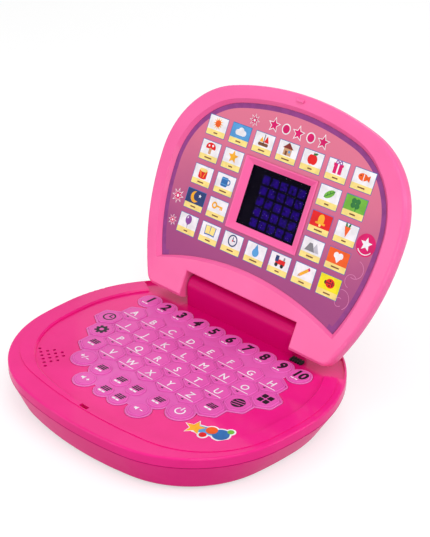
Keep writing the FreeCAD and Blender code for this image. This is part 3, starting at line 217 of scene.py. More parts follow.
@dataclass(frozen=True)
class LidPlane:
    """Where the open lid stands: its hinge axis and its tilt from the level."""

    hinge: Vector
    tilt: float

    @classmethod
    def from_joint(cls, joint: dict[str, Any]) -> "LidPlane":
        """Read the axis and the angle from the hinge's joint."""
        return cls(Vector(joint["pos_m"]), math.radians(180.0 + joint["range_deg"][0]))

    def matrix(self) -> Matrix:
        """From the lid's own frame, with its height along Y, to the open lid."""
        return Matrix.Translation(self.hinge) @ Matrix.Rotation(self.tilt, 4, "X")

    def mapped(self, recipe: Recipe, where: Wire) -> Wire:
        """Bring a point of the open lid back into the lid's own frame.

        Args:
            recipe: The material that needs it.
            where: The point in the object's frame.

        Returns:
            The point in the lid's frame, in metres.
        """
        back = self.matrix().inverted()
        turned = {"Vector": where, "Location": back.to_translation(), "Rotation": back.to_euler()}
        return recipe.node("ShaderNodeMapping", {"vector_type": "POINT"}, turned)

    def face_of(self, node: str) -> float:
        """How high a node's front stands above the hinge plane, in millimetres."""
        back = self.matrix().inverted()
        return max((back @ vertex.co).z for vertex in frame["nodes"][node].data.vertices) / MM


LID = LidPlane.from_joint(next(joint for joint in frame["joints"] if joint["name"] == "lid_hinge"))


@dataclass(frozen=True)
class Finish:
    """A moulded or printed surface with slow colour drift, fine grain and light scuffs.

    The patch and the grain are scales of noise, and the depth is the grain's height in metres.
    """

    name: str
    colour: Colour
    shade: Colour
    roughness: float = 0.32
    drift: float = 0.08
    patch: float = 26.0
    grain: float = 1500.0
    depth: float = 0.00001
    scuff: float = 0.12
    specular: float = 0.3
    metallic: float = 0.0
    coat: float = 0.0
    coat_roughness: float = 0.07
    alpha: float = 1.0
    cloud_range: tuple[float, float] = (0.35, 0.68)
    scuff_range: tuple[float, float] = (0.60, 0.74)
    scuff_scale: float = 9.0
    drift_scale: float = 2.3
    bump: float = 0.6

    def tone(self, recipe: Recipe, where: Wire) -> Wire:
        """The colour over the surface."""
        clouds = recipe.noise(where, self.patch, detail=3.0).ramp(*self.cloud_range)
        return recipe.blend(clouds, self.colour, self.shade)

    def extra(self, recipe: Recipe, where: Wire) -> dict[str, Any]:
        """Further sockets that vary over the surface; most surfaces have none."""
        return {}

    def material(self) -> bpy.types.Material:
        """Make the material once and then share it.

        Returns:
            The finished material.
        """
        known = bpy.data.materials.get(self.name)
        if known is not None:
            return known
        made = bpy.data.materials.new(self.name)
        made.use_nodes = True
        made.diffuse_color = self.colour
        recipe = Recipe(made.node_tree)
        where = recipe.place()
        rubbed = recipe.noise(where, self.patch * self.scuff_scale, detail=6.0).ramp(*self.scuff_range)
        patchy = recipe.sway(where, self.patch * self.drift_scale)
        roughness = self.roughness + patchy * self.drift + rubbed * self.scuff
        height = recipe.noise(where, self.grain)
        relief = {"Strength": self.bump, "Distance": self.depth, "Height": height}
        sockets = {
            "Base Color": self.tone(recipe, where), "Roughness": roughness,
            "Normal": recipe.node("ShaderNodeBump", {}, relief),
            "Specular IOR Level": self.specular, "Metallic": self.metallic, "Alpha": self.alpha,
            "Coat Weight": self.coat, "Coat Roughness": self.coat_roughness,
        }
        sockets.update(self.extra(recipe, where))
        shader = recipe.node("ShaderNodeBsdfPrincipled", {}, sockets)
        recipe.end("ShaderNodeOutputMaterial", shader)
        return made


@dataclass(frozen=True)
class BasePlastic(Finish):
    """The base's magenta, with painted shade: a deeper tone on the hinge barrel and on the deck at its foot,
    where the lid shades them; dull there and below the skirt.

    The levels and the places are in metres.
    """

    # Painted shade: this deeper colour on the barrel and its foot stands in for the lid's shade.
    deep: Colour = srgb(196, 0, 98)
    barrel_z: float = 0.0297
    deck_z: float = 0.0255
    skirt_z: float = 0.0210
    fade: float = 0.001
    foot_x: tuple[float, float] = (0.066, 0.080)
    foot_y: tuple[float, float] = (0.024, 0.035)
    foot_end: float = 0.0565
    dulling: float = 0.85

    def above(self, recipe: Recipe, where: Wire, level: float) -> Wire:
        """One above a level, and zero below it."""
        return recipe.along(where, "Z").ramp(level, level + self.fade)

    def shaded(self, recipe: Recipe, where: Wire) -> Wire:
        """Where the painted shade under the lid goes.

        Args:
            recipe: The material being made.
            where: The point in the object's frame.

        Returns:
            One on the barrel and on the deck at its foot, and zero elsewhere.
        """
        depth = recipe.along(where, "Y")
        foot = depth.ramp(*self.foot_y) * (1.0 - depth.ramp(self.foot_end, self.foot_end + self.fade))
        aside = abs(recipe.along(where, "X")).ramp(*self.foot_x)
        foot = foot * (1.0 - aside) * self.above(recipe, where, self.deck_z)
        return self.above(recipe, where, self.barrel_z).most(foot)

    def tone(self, recipe: Recipe, where: Wire) -> Wire:
        """The colour, with the barrel and its foot deeper as painted shade."""
        return recipe.blend(self.shaded(recipe, where), super().tone(recipe, where), self.deep)

    def extra(self, recipe: Recipe, where: Wire) -> dict[str, Any]:
        """The barrel, its foot and the lower wall are less glossy."""
        wall = 1.0 - self.above(recipe, where, self.skirt_z)
        return {"Coat Weight": self.coat * (1.0 - self.dulling * wall.most(self.shaded(recipe, where)))}


@dataclass(frozen=True)
class PanelPrint(Finish):
    """The printed film: violet up to a low height on the lid, rose from a high one, in metres."""

    low: float = 0.012
    high: float = 0.125
    mottling: float = 0.03
    mottle_scale: float = 30.0

    def tone(self, recipe: Recipe, where: Wire) -> Wire:
        """The gradient up the lid, with a little mottling.

        Args:
            recipe: The material being made.
            where: The point in the object's frame.

        Returns:
            The colour.
        """
        own = LID.mapped(recipe, where)
        rise = recipe.along(own, "Y") + recipe.sway(where, self.mottle_scale) * self.mottling
        return recipe.blend(rise.ramp(self.low, self.high), self.shade, self.colour)


@dataclass(frozen=True)
class DisplayCells(Finish):
    """The dark display with a block of dim cells, in metres on the lid."""

    lit: Colour = srgb(34, 4, 120)
    middle_x: float = 0.0035
    middle_y: float = 0.0705
    pitch_x: float = 0.0078
    pitch_y: float = 0.0073
    reach: float = 2.5
    start: float = 100.5
    gap: tuple[float, float] = (0.28, 0.46)
    speckle_scale: float = 420.0
    speckle_range: tuple[float, float] = (0.25, 0.6)
    glow: float = 0.35

    def cells(self, recipe: Recipe, where: Wire) -> Wire:
        """Where the dim cells are.

        Args:
            recipe: The material being made.
            where: The point in the object's frame.

        Returns:
            One on a cell and zero elsewhere.
        """
        own = LID.mapped(recipe, where)
        mask: Wire | float = 1.0
        for axis, middle, pitch in (("X", self.middle_x, self.pitch_x), ("Y", self.middle_y, self.pitch_y)):
            step = (recipe.along(own, axis) - middle) / pitch
            edge = abs((step + self.start).fraction() - 0.5)
            mask = (1.0 - edge.ramp(*self.gap)) * abs(step).below(self.reach) * mask
        return mask * recipe.noise(where, self.speckle_scale).ramp(*self.speckle_range)

    def tone(self, recipe: Recipe, where: Wire) -> Wire:
        """Near black, with the cells in dim blue."""
        return recipe.blend(self.cells(recipe, where), self.colour, self.lit)

    def extra(self, recipe: Recipe, where: Wire) -> dict[str, Any]:
        """The cells get a painted glow, a little light of their own, though the display is no lamp."""
        return {"Emission Color": self.tone(recipe, where), "Emission Strength": self.glow}


@dataclass(frozen=True)
class Brushed(Finish):
    """Bright metal with fine lines."""

    lines: float = 900.0
    line_range: tuple[float, float] = (0.3, 0.7)
    stretch: tuple[float, float, float] = (0.05, 1.0, 1.0)

    def tone(self, recipe: Recipe, where: Wire) -> Wire:
        """The metal's colour with darker lines along X.

        Args:
            recipe: The material being made.
            where: The point in the object's frame.

        Returns:
            The colour.
        """
        drawn = recipe.node("ShaderNodeMapping", {}, {"Vector": where, "Scale": self.stretch})
        lines = recipe.noise(drawn, self.lines, detail=3.0).ramp(*self.line_range)
        return recipe.blend(lines, self.colour, self.shade)


BASE = BasePlastic(
    "base_moulding", srgb(232, 28, 132), srgb(226, 22, 126), roughness=0.36, specular=0.06, coat=0.28)
# Painted shadow: the dark strip along the parting line stands in for the shade in its gap.
SEAM_SHADOW = Finish("seam_shadow", srgb(166, 4, 86), srgb(156, 3, 78), roughness=0.6, specular=0.1)
LID_PINK = Finish(
    "lid_moulding", srgb(241, 101, 163), srgb(237, 96, 158), roughness=0.38, specular=0.08, coat=0.25)
SHEET = Finish("sheet_rubber", srgb(220, 92, 176), srgb(214, 84, 170), roughness=0.44)
# Painted highlight: a paler copy of the sheet rubber for the sheet's lit outer edge.
SHEET_EDGE_HIGHLIGHT = Finish("keypad_edge_highlight", srgb(240, 168, 222), srgb(234, 156, 216), roughness=0.42)
KEY_FACE = Finish("key_face", srgb(222, 86, 174), srgb(216, 80, 168), roughness=0.46)
# Painted highlight and shade: the key ring is a paler copy of the key rubber for the lit raised rim, and the
# groove line a darker copy for the shade in the groove.
KEY_RING = Finish("key_ring", srgb(228, 98, 186), srgb(222, 90, 180), roughness=0.44)
KEY_GROOVE_SHADE = Finish("key_groove_shade", srgb(200, 62, 152), srgb(192, 56, 146), roughness=0.5)
PANEL = PanelPrint("panel_print", srgb(214, 112, 140), srgb(152, 64, 122), roughness=0.36, specular=0.15)
WINDOW = Finish("clear_cover", srgb(10, 8, 26), srgb(8, 6, 22), roughness=0.06, drift=0.02, scuff=0.04,
                alpha=0.12, depth=0.000001, specular=0.04)
MODULE = DisplayCells("display_cells", srgb(6, 3, 14), srgb(4, 2, 10), roughness=0.4, specular=0.02)
STEEL = Brushed("bright_steel", srgb(204, 204, 208), srgb(160, 160, 166), metallic=1.0, roughness=0.28)
BLACK_RUBBER = Finish("black_rubber", srgb(22, 20, 22), srgb(34, 31, 33), roughness=0.55, depth=0.00003)
FOOT_RUBBER = Finish("foot_grip", srgb(38, 36, 38), srgb(54, 51, 52), roughness=0.75, depth=0.00004)
FILM = Finish("switch_film", srgb(222, 120, 190), srgb(212, 110, 182), roughness=0.5)
SPEAKER = Finish("speaker_black", srgb(24, 22, 24), srgb(40, 38, 40), roughness=0.6, depth=0.00005)
BOARD = Finish("board_green", srgb(26, 96, 52), srgb(20, 80, 44), roughness=0.4, patch=120.0)
CELL = Brushed("cell_sleeve", srgb(92, 96, 104), srgb(74, 78, 86), metallic=0.6, roughness=0.35)


def ink(name: str, red: int, green: int, blue: int) -> Finish:
    """A printed colour with a slightly darker mottling."""
    shade = srgb(*(int(level * INK_SHADE) for level in (red, green, blue)))
    return Finish(name, srgb(red, green, blue), shade, roughness=0.4, patch=160.0, grain=2600.0,
                  depth=0.000004, specular=0.15)


class Ink(Enum):
    """The printed colours, the bare key face that shows where a symbol has an opening, and the dark red of
    the painted shade in the latch slot.
    """

    WHITE = ink("ink_white", 238, 236, 240)
    BLACK = ink("ink_black", 26, 18, 28)
    GREY = ink("ink_grey", 128, 126, 132)
    SILVER = ink("ink_silver", 190, 188, 198)
    BLUE = ink("ink_blue", 44, 108, 176)
    SKY = ink("ink_sky", 84, 156, 214)
    NAVY = ink("ink_navy", 38, 58, 110)
    CREAM = ink("ink_cream", 248, 224, 134)
    YELLOW = ink("ink_yellow", 240, 226, 22)
    ORANGE = ink("ink_orange", 236, 92, 26)
    GOLD = ink("ink_gold", 244, 174, 40)
    RED = ink("ink_red", 222, 22, 26)
    MAROON = ink("ink_maroon", 130, 40, 36)
    BROWN = ink("ink_brown", 118, 70, 44)
    TAN = ink("ink_tan", 200, 154, 112)
    GREEN = ink("ink_green", 112, 180, 60)
    LEAF = ink("ink_leaf", 44, 116, 56)
    MAGENTA = ink("ink_magenta", 214, 6, 104)
    PLUM = ink("ink_plum", 140, 70, 156)
    BAND = ink("ink_band", 140, 58, 132)
    BLUSH = ink("ink_blush", 214, 128, 176)
    # Painted shade: this dark red goes on the latch slot's floor for the shade inside the slot.
    DEEP = ink("ink_deep", 184, 2, 58)
    FACE = KEY_FACE


class Form(Enum):
    """Flat shapes for prints."""

    POLYGON = "polygon"
    BOX = "box"
    STAR = "star"
    RING = "ring"
    ARC = "arc"


@dataclass(frozen=True)
class Mark:
    """One flat printed shape, in millimetres on its surface; the edge is a corner's or a stroke's size."""

    form: Form
    ink: Ink
    x: float
    y: float
    width: float
    height: float
    turn: float = 0.0
    sides: int = 24
    edge: float = 0.0
    sweep: float = 360.0


def disc(colour: Ink, x: float, y: float, width: float, height: float = 0.0, turn: float = 0.0) -> Mark:
    """A round spot, or an oval where a height is given."""
    return Mark(Form.POLYGON, colour, x, y, width, height or width, turn)


def bar(colour: Ink, x: float, y: float, width: float, height: float, turn: float = 0.0,
        edge: float = 0.0) -> Mark:
    """A block, with rounded corners where an edge is given."""
    return Mark(Form.BOX, colour, x, y, width, height, turn, edge=edge)


def wedge(colour: Ink, x: float, y: float, width: float, height: float, turn: float = 0.0) -> Mark:
    """A triangle that points up before it is turned."""
    return Mark(Form.POLYGON, colour, x, y, width, height, turn, 3)


def star(colour: Ink, x: float, y: float, width: float, points: int) -> Mark:
    """A star."""
    return Mark(Form.STAR, colour, x, y, width, width, sides=2 * points)


def ring(colour: Ink, x: float, y: float, width: float, stroke: float) -> Mark:
    """A ring."""
    return Mark(Form.RING, colour, x, y, width, width, edge=stroke)


def arc(colour: Ink, x: float, y: float, width: float, stroke: float, start: float, sweep: float) -> Mark:
    """Part of a ring, from a start angle."""
    return Mark(Form.ARC, colour, x, y, width, width, start, edge=stroke, sweep=sweep)


class Piece:
    """A mesh in the making, in millimetres, with one material slot for each finish it uses."""

    def __init__(self, name: str) -> None:
        """Start an empty mesh.

        Args:
            name: The name of the finished object.
        """
        self.name = name
        self.mesh = bmesh.new()
        self.finishes: list[Finish] = []

    def slot_of(self, finish: Finish) -> int:
        """The material slot of a finish, added at its first use."""
        if finish not in self.finishes:
            self.finishes.append(finish)
        return self.finishes.index(finish)

    def paint(self, faces: Iterable[bmesh.types.BMFace], finish: Finish) -> None:
        """Give faces a finish."""
        slot = self.slot_of(finish)
        for face in faces:
            face.material_index = slot

    def copy_node(self, node: str, back: Matrix) -> None:
        """Start from a CAD node's shape, merged and in millimetres.

        Args:
            node: The node's name.
            back: From the object's frame to the wanted one, in metres.
        """
        self.mesh.from_mesh(frame["nodes"][node].data)
        bmesh.ops.transform(self.mesh, matrix=MILLIMETRES.inverted() @ back, verts=list(self.mesh.verts))
        bmesh.ops.remove_doubles(self.mesh, verts=list(self.mesh.verts), dist=MERGE)
        bmesh.ops.dissolve_limit(
            self.mesh, angle_limit=FLAT_ANGLE, verts=list(self.mesh.verts), edges=list(self.mesh.edges))

    def raise_faces(self, faces: Sequence[bmesh.types.BMFace], height: float) -> list[bmesh.types.BMFace]:
        """Extrude faces along Z.

        Args:
            faces: The faces to lift.
            height: How far.

        Returns:
            The lifted faces.
        """
        lifted = bmesh.ops.extrude_face_region(self.mesh, geom=list(faces))["geom"]
        points = [part for part in lifted if isinstance(part, bmesh.types.BMVert)]
        bmesh.ops.translate(self.mesh, verts=points, vec=(0.0, 0.0, height))
        return [part for part in lifted if isinstance(part, bmesh.types.BMFace)]

    def polygon(self, radius: float, sides: int, place: Matrix) -> bmesh.types.BMFace:
        """A flat face with equal sides, by its corners' radius."""
        made = bmesh.ops.create_circle(self.mesh, cap_ends=True, segments=sides, radius=radius, matrix=place)
        return made["verts"][0].link_faces[0]

    def round_corners(self, face: bmesh.types.BMFace, radius: float) -> bmesh.types.BMFace:
        """Round the corners of a flat face that stands alone."""
        rounded = bmesh.ops.bevel(
            self.mesh, geom=list(face.verts), offset=radius, offset_type="OFFSET", segments=4, profile=0.5,
            affect="VERTICES", material=-1)
        return rounded["verts"][0].link_faces[0]

    def block(self, low: Vector, high: Vector, edge: float, finish: Finish) -> None:
        """Add a block with rounded edges.

        Args:
            low: Its lowest corner.
            high: Its highest corner.
            edge: How far the edges are rounded.
            finish: Its finish.
        """
        place = Matrix.Translation((low + high) / 2) @ Matrix.Diagonal((high - low).to_4d())
        made = bmesh.ops.create_cube(self.mesh, size=1.0, matrix=place)
        edges = {line for vertex in made["verts"] for line in vertex.link_edges}
        faces = {face for vertex in made["verts"] for face in vertex.link_faces}
        self.paint(faces, finish)
        bmesh.ops.bevel(
            self.mesh, geom=list(edges), offset=edge, offset_type="OFFSET", segments=3, profile=0.5,
            affect="EDGES", material=-1)

    def profile(self, points: Sequence[tuple[float, float]]) -> list[Any]:
        """An open line in the XZ plane: its vertices and edges, from distances and heights."""
        corners = [bmesh.ops.create_vert(self.mesh, co=(x, 0.0, z))["vert"][0] for x, z in points]
        return corners + [self.mesh.edges.new(pair) for pair in zip(corners, corners[1:])]

    def turned(self, points: Sequence[tuple[float, float]], steps: int,
               finish: Finish) -> list[bmesh.types.BMVert]:
        """Spin a profile about the Z axis.

        Args:
            points: The profile.
            steps: How many steps go round.
            finish: The finish.

        Returns:
            The new vertices.
        """
        known = set(self.mesh.faces)
        bmesh.ops.spin(
            self.mesh, geom=self.profile(points), cent=(0.0, 0.0, 0.0), axis=(0.0, 0.0, 1.0),
            angle=2 * math.pi, steps=steps, use_merge=True)
        faces = [face for face in self.mesh.faces if face not in known]
        self.paint(faces, finish)
        made = list({vertex for face in faces for vertex in face.verts})
        bmesh.ops.remove_doubles(self.mesh, verts=made, dist=MERGE / 4)
        return [vertex for vertex in made if vertex.is_valid]

    def stroke(self, mark: Mark, place: Matrix) -> list[bmesh.types.BMFace]:
        """A flat strip along part of a circle.

        Args:
            mark: The arc.
            place: Where it lies.

        Returns:
            Its faces.
        """
        known = set(self.mesh.faces)
        line = self.profile(((mark.width / 2 - mark.edge, 0.0), (mark.width / 2, 0.0)))
        bmesh.ops.spin(
            self.mesh, geom=line, cent=(0.0, 0.0, 0.0), axis=(0.0, 0.0, 1.0), angle=math.radians(mark.sweep),
            steps=mark.sides, use_merge=False)
        faces = [face for face in self.mesh.faces if face not in known]
        points = {vertex for face in faces for vertex in face.verts}
        bmesh.ops.transform(self.mesh, matrix=place, verts=list(points))
        return faces

    def mark(self, mark: Mark, level: float, thickness: float) -> None:
        """Add one flat shape with a little thickness.

        Args:
            mark: The shape.
            level: The height of its underside.
            thickness: Its thickness.
        """
        place = Matrix.Translation((mark.x, mark.y, level)) @ Matrix.Rotation(math.radians(mark.turn), 4, "Z")
        sized = place @ Matrix.Diagonal((mark.width / 2, mark.height / 2, 1.0, 1.0))
        if mark.form is Form.ARC:
            faces = self.stroke(mark, place)
        elif mark.form is Form.BOX:
            grid = bmesh.ops.create_grid(self.mesh, x_segments=1, y_segments=1, size=1.0, matrix=sized)
            faces = [grid["verts"][0].link_faces[0]]
            if mark.edge > 0.0:
                faces = [self.round_corners(faces[0], mark.edge)]
        else:
            faces = [self.polygon(1.0, mark.sides, sized)]
        if mark.form is Form.STAR:
            middle = place.to_translation()
            inner = Matrix.Translation(middle) @ Matrix.Scale(STAR_WAIST, 4) @ Matrix.Translation(-middle)
            bmesh.ops.transform(self.mesh, matrix=inner, verts=list(faces[0].verts)[1::2])
        if mark.form is Form.RING:
            middle_face = faces[0]
            faces = bmesh.ops.inset_region(
                self.mesh, faces=[middle_face], thickness=mark.edge, use_boundary=True,
                use_even_offset=True)["faces"]
            bmesh.ops.delete(self.mesh, geom=[middle_face], context="FACES_ONLY")
        self.paint(faces, mark.ink.value)
        self.raise_faces(faces, thickness)

    def print_marks(self, marks: Iterable[Mark], level: float) -> None:
        """Print shapes over one another on a level, each a layer higher."""
        for layer, mark in enumerate(marks, start=1):
            self.mark(mark, level, layer * LAYER)

    def text(self, words: str, finish: Finish, place: Matrix, size: float, weight: float,
             slant: float) -> None:
        """Add letters or digits, as a mesh with a little thickness.

        Args:
            words: What to write.
            finish: Its finish.
            place: Where its middle lies.
            size: The letters' size.
            weight: How much the strokes are thickened.
            slant: How far the letters lean.
        """
        curve = bpy.data.curves.new("legend", "FONT")
        curve.body = words
        curve.size = size
        curve.offset = weight
        curve.shear = slant
        curve.extrude = 2 * LAYER
        curve.resolution_u = 3
        curve.align_x = "CENTER"
        curve.align_y = "CENTER"
        holder = bpy.data.objects.new("legend", curve)
        letters = bpy.data.meshes.new_from_object(holder)
        letters.transform(place)
        letters.polygons.foreach_set("material_index", [self.slot_of(finish)] * len(letters.polygons))
        self.mesh.from_mesh(letters)
        bpy.data.objects.remove(holder)
        bpy.data.curves.remove(curve)
        bpy.data.meshes.remove(letters)

    def finish(self, body: str, place: Matrix, slot: str, nodes: Sequence[str] = ()) -> None:
        """Close the mesh and hang it on a body.

        Args:
            body: The body it rides on.
            place: Where it goes, in metres.
            slot: The record's material slot; not used.
            nodes: The CAD nodes it stands for.
        """
        bmesh.ops.recalc_face_normals(self.mesh, faces=list(self.mesh.faces))
        for edge in self.mesh.edges:
            edge.smooth = len(edge.link_faces) == 2 and edge.calc_face_angle() < SHARP_ANGLE
        for face in self.mesh.faces:
            face.smooth = True
        self.mesh.transform(place @ MILLIMETRES)
        data = bpy.data.meshes.new(self.name)
        self.mesh.to_mesh(data)
        self.mesh.free()
        for finish in self.finishes:
            data.materials.append(finish.material())
        made = bpy.data.objects.new(self.name, data)
        bpy.context.scene.collection.objects.link(made)
        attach(made, body)
        if nodes:
            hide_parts(*nodes)
        LOG.info("%s: %d faces on %s", self.name, len(data.polygons), body)


@dataclass
class Assembly:
    """A sub-assembly, with the finish of each CAD node that keeps its shape."""

    finishes: dict[str, Finish] = field(default_factory=dict)

    def dress(self) -> None:
        """Give each of those nodes its finish."""
        for node, finish in self.finishes.items():
            data = frame["nodes"][node].data
            data.materials.clear()
            data.materials.append(finish.material())
            LOG.info("%s: %s", node, finish.name)


def solids_of(node: str, back: Matrix) -> list[tuple[Vector, Vector]]:
    """The box of each separate solid in a CAD node.

    Args:
        node: The node's name.
        back: From the object's frame to the wanted one, in metres.

    Returns:
        The lowest and highest corner of each, in millimetres.
    """
    copy = Piece(node)
    copy.copy_node(node, back)
    left = set(copy.mesh.verts)
    boxes = []
    while left:
        group = [left.pop()]
        for vertex in group:
            near = {other for line in vertex.link_edges for other in line.verts} & left
            left -= near
            group.extend(near)
        along = [[vertex.co[axis] for vertex in group] for axis in range(3)]
        boxes.append((Vector(map(min, along)), Vector(map(max, along))))
    copy.mesh.free()
    return boxes


@dataclass
class Shells(Assembly):
    """The base and the lid, which keep their CAD shapes."""

    finishes: dict[str, Finish] = field(default_factory=lambda: {
        "base_top_cover": BASE, "base_bottom_case": BASE, "battery_door": BASE,
        "lid_front_frame": LID_PINK, "lid_back_cover": LID_PINK,
    })
    wall_x: float = 109.0
    seam_lift: float = 0.01
    seam_height: float = 0.5
    seam_rise: float = 0.03
    # Painted shade in the latch slot, as a dark red plate on its floor.
    slot: Mark = bar(Ink.DEEP, 0.0, -93.0, 6.9, 2.9)
    slot_below_sheet: float = 0.8

    def build_seam(self) -> None:
        """Make a dark strip below the rim, from the outer wall of the top cover, as the painted shadow of the
        parting line.
        """
        piece = Piece("seam_shadow_line")
        piece.copy_node("base_top_cover", Matrix.Identity(4))
        low = min(vertex.co.z for vertex in piece.mesh.verts if vertex.co.x > self.wall_x)
        for height, side in ((low + self.seam_lift, -1.0), (low + self.seam_height, 1.0)):
            everything = list(piece.mesh.verts) + list(piece.mesh.edges) + list(piece.mesh.faces)
            bmesh.ops.bisect_plane(
                piece.mesh, geom=everything, plane_co=(0.0, 0.0, height), plane_no=(0.0, 0.0, side),
                clear_outer=True)
        wall = {max(piece.mesh.faces, key=lambda face: face.calc_center_median().x)}
        fresh = set(wall)
        while fresh:
            fresh = {near for face in fresh for edge in face.edges for near in edge.link_faces} - wall
            wall |= fresh
        inner = [face for face in piece.mesh.faces if face not in wall]
        bmesh.ops.delete(piece.mesh, geom=inner, context="FACES")
        bmesh.ops.recalc_face_normals(piece.mesh, faces=list(wall))
        bmesh.ops.solidify(piece.mesh, geom=list(wall), thickness=-self.seam_rise)
        piece.paint(piece.mesh.faces, SEAM_SHADOW)
        piece.finish("base", Matrix.Identity(4), "base_plastic")

    def build_slot(self) -> None:
        """Make a dark red plate on the latch slot's floor: painted shade in the slot."""
        piece = Piece("latch_slot_shade")
        piece.print_marks([self.slot], 0.0)
        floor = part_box("keypad_sheet")[1].z - self.slot_below_sheet * MM
        piece.finish("base", Matrix.Translation((0.0, 0.0, floor)), "base_plastic")

    def build(self) -> None:
        """Dress each shell, draw the seam's painted shadow and paint shade on the slot's floor."""
        self.dress()
        self.build_seam()
        self.build_slot()


@dataclass
class DeckSticker:
    """A die-cut paper sticker on the deck, in millimetres from its middle."""

    x: float = 70.5
    y: float = -57.2
    turn: float = 20.0
    margin: float = 2.2
    deck_below_sheet: float = 0.5
    shapes: tuple[Mark, ...] = (
        bar(Ink.SKY, 1.0, 0.2, 20.0, 6.6, 0.0, 1.4),
        star(Ink.GOLD, -8.8, 0.4, 13.6, 5),
        disc(Ink.BLUE, 8.2, -0.2, 10.6),
        disc(Ink.ORANGE, 1.6, 1.6, 7.4),
        disc(Ink.RED, -1.6, -4.6, 4.8),
        disc(Ink.GREEN, 12.6, 4.6, 4.2),
    )

    def build(self) -> None:
        """Make the white backing and the coloured shapes on it."""
        piece = Piece("deck_sticker")
        backing = []
        for shape in self.shapes:
            size = {"width": shape.width + self.margin, "height": shape.height + self.margin}
            backing.append(replace(shape, ink=Ink.WHITE, **size))
        piece.print_marks(backing + list(self.shapes), 0.0)
        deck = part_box("keypad_sheet")[1].z / MM - self.deck_below_sheet
        place = Matrix.Translation(Vector((self.x, self.y, deck)) * MM)
        piece.finish("base", place @ Matrix.Rotation(math.radians(self.turn), 4, "Z"), "base_plastic")


class Legend(Enum):
    """What a front key or a picture key carries."""

    SIGNS = (
        bar(Ink.WHITE, -2.7, 0.5, 2.8, 0.65), bar(Ink.WHITE, -2.7, 0.5, 0.65, 2.8),
        bar(Ink.WHITE, 0.0, 0.0, 0.55, 4.6, -25.0), bar(Ink.WHITE, 2.7, -0.5, 2.8, 0.65),
    )
    LINES = tuple(
        bar(Ink.BLACK, middle + shift, y, width, 1.0, edge=0.2)
        for shift, y in ((0.3, 3.1), (0.0, 1.6), (-0.3, 0.1)) for middle, width in ((-1.75, 2.9), (1.65, 3.3))
    ) + (bar(Ink.WHITE, -1.6, -2.4, 2.6, 1.3, edge=0.2), bar(Ink.WHITE, 1.5, -2.4, 2.4, 1.3, edge=0.2))
    POWER = (arc(Ink.WHITE, 0.0, -0.3, 7.0, 0.8, 122.0, 296.0), bar(Ink.WHITE, 0.0, 2.2, 0.8, 3.8))
    SOFTER = (
        bar(Ink.WHITE, -2.7, 0.0, 1.3, 1.7), wedge(Ink.WHITE, -1.6, 0.0, 4.0, 3.6, 90.0),
        bar(Ink.WHITE, 2.4, 0.0, 2.2, 0.55),
    )
    LOUDER = SOFTER + (bar(Ink.WHITE, 2.4, 0.0, 0.55, 2.2),)
    BALL = (disc(Ink.BLACK, 0.0, 0.0, 9.4),) + tuple(
        bar(Ink.FACE, 0.0, y, width, 0.6, 12.0) for y, width in ((2.3, 6.4), (0.0, 9.0), (-2.3, 6.4)))
    GEAR = tuple(bar(Ink.BLACK, 0.0, 0.0, 9.8, 1.9, turn) for turn in (0.0, 45.0, 90.0, 135.0)) + (
        disc(Ink.BLACK, 0.0, 0.0, 7.4), disc(Ink.FACE, 0.0, 0.0, 3.2))
    BLOCKS = tuple(bar(Ink.BLACK, x, y, 3.8, 3.8, edge=0.5) for x in (-2.3, 2.3) for y in (-2.3, 2.3))
    CLOCK = (
        ring(Ink.BLACK, 0.0, 0.0, 9.2, 1.1), bar(Ink.BLACK, 0.0, 1.4, 0.9, 3.4),
        bar(Ink.BLACK, 1.2, 0.0, 3.0, 0.9),
    )


@dataclass(frozen=True)
class Cap:
    """One key cap: its piece and node, its middle, its round radius or none for a hexagon, and its legend."""

    piece: str
    node: str
    x: float
    y: float
    radius: float | None
    legend: Legend | str


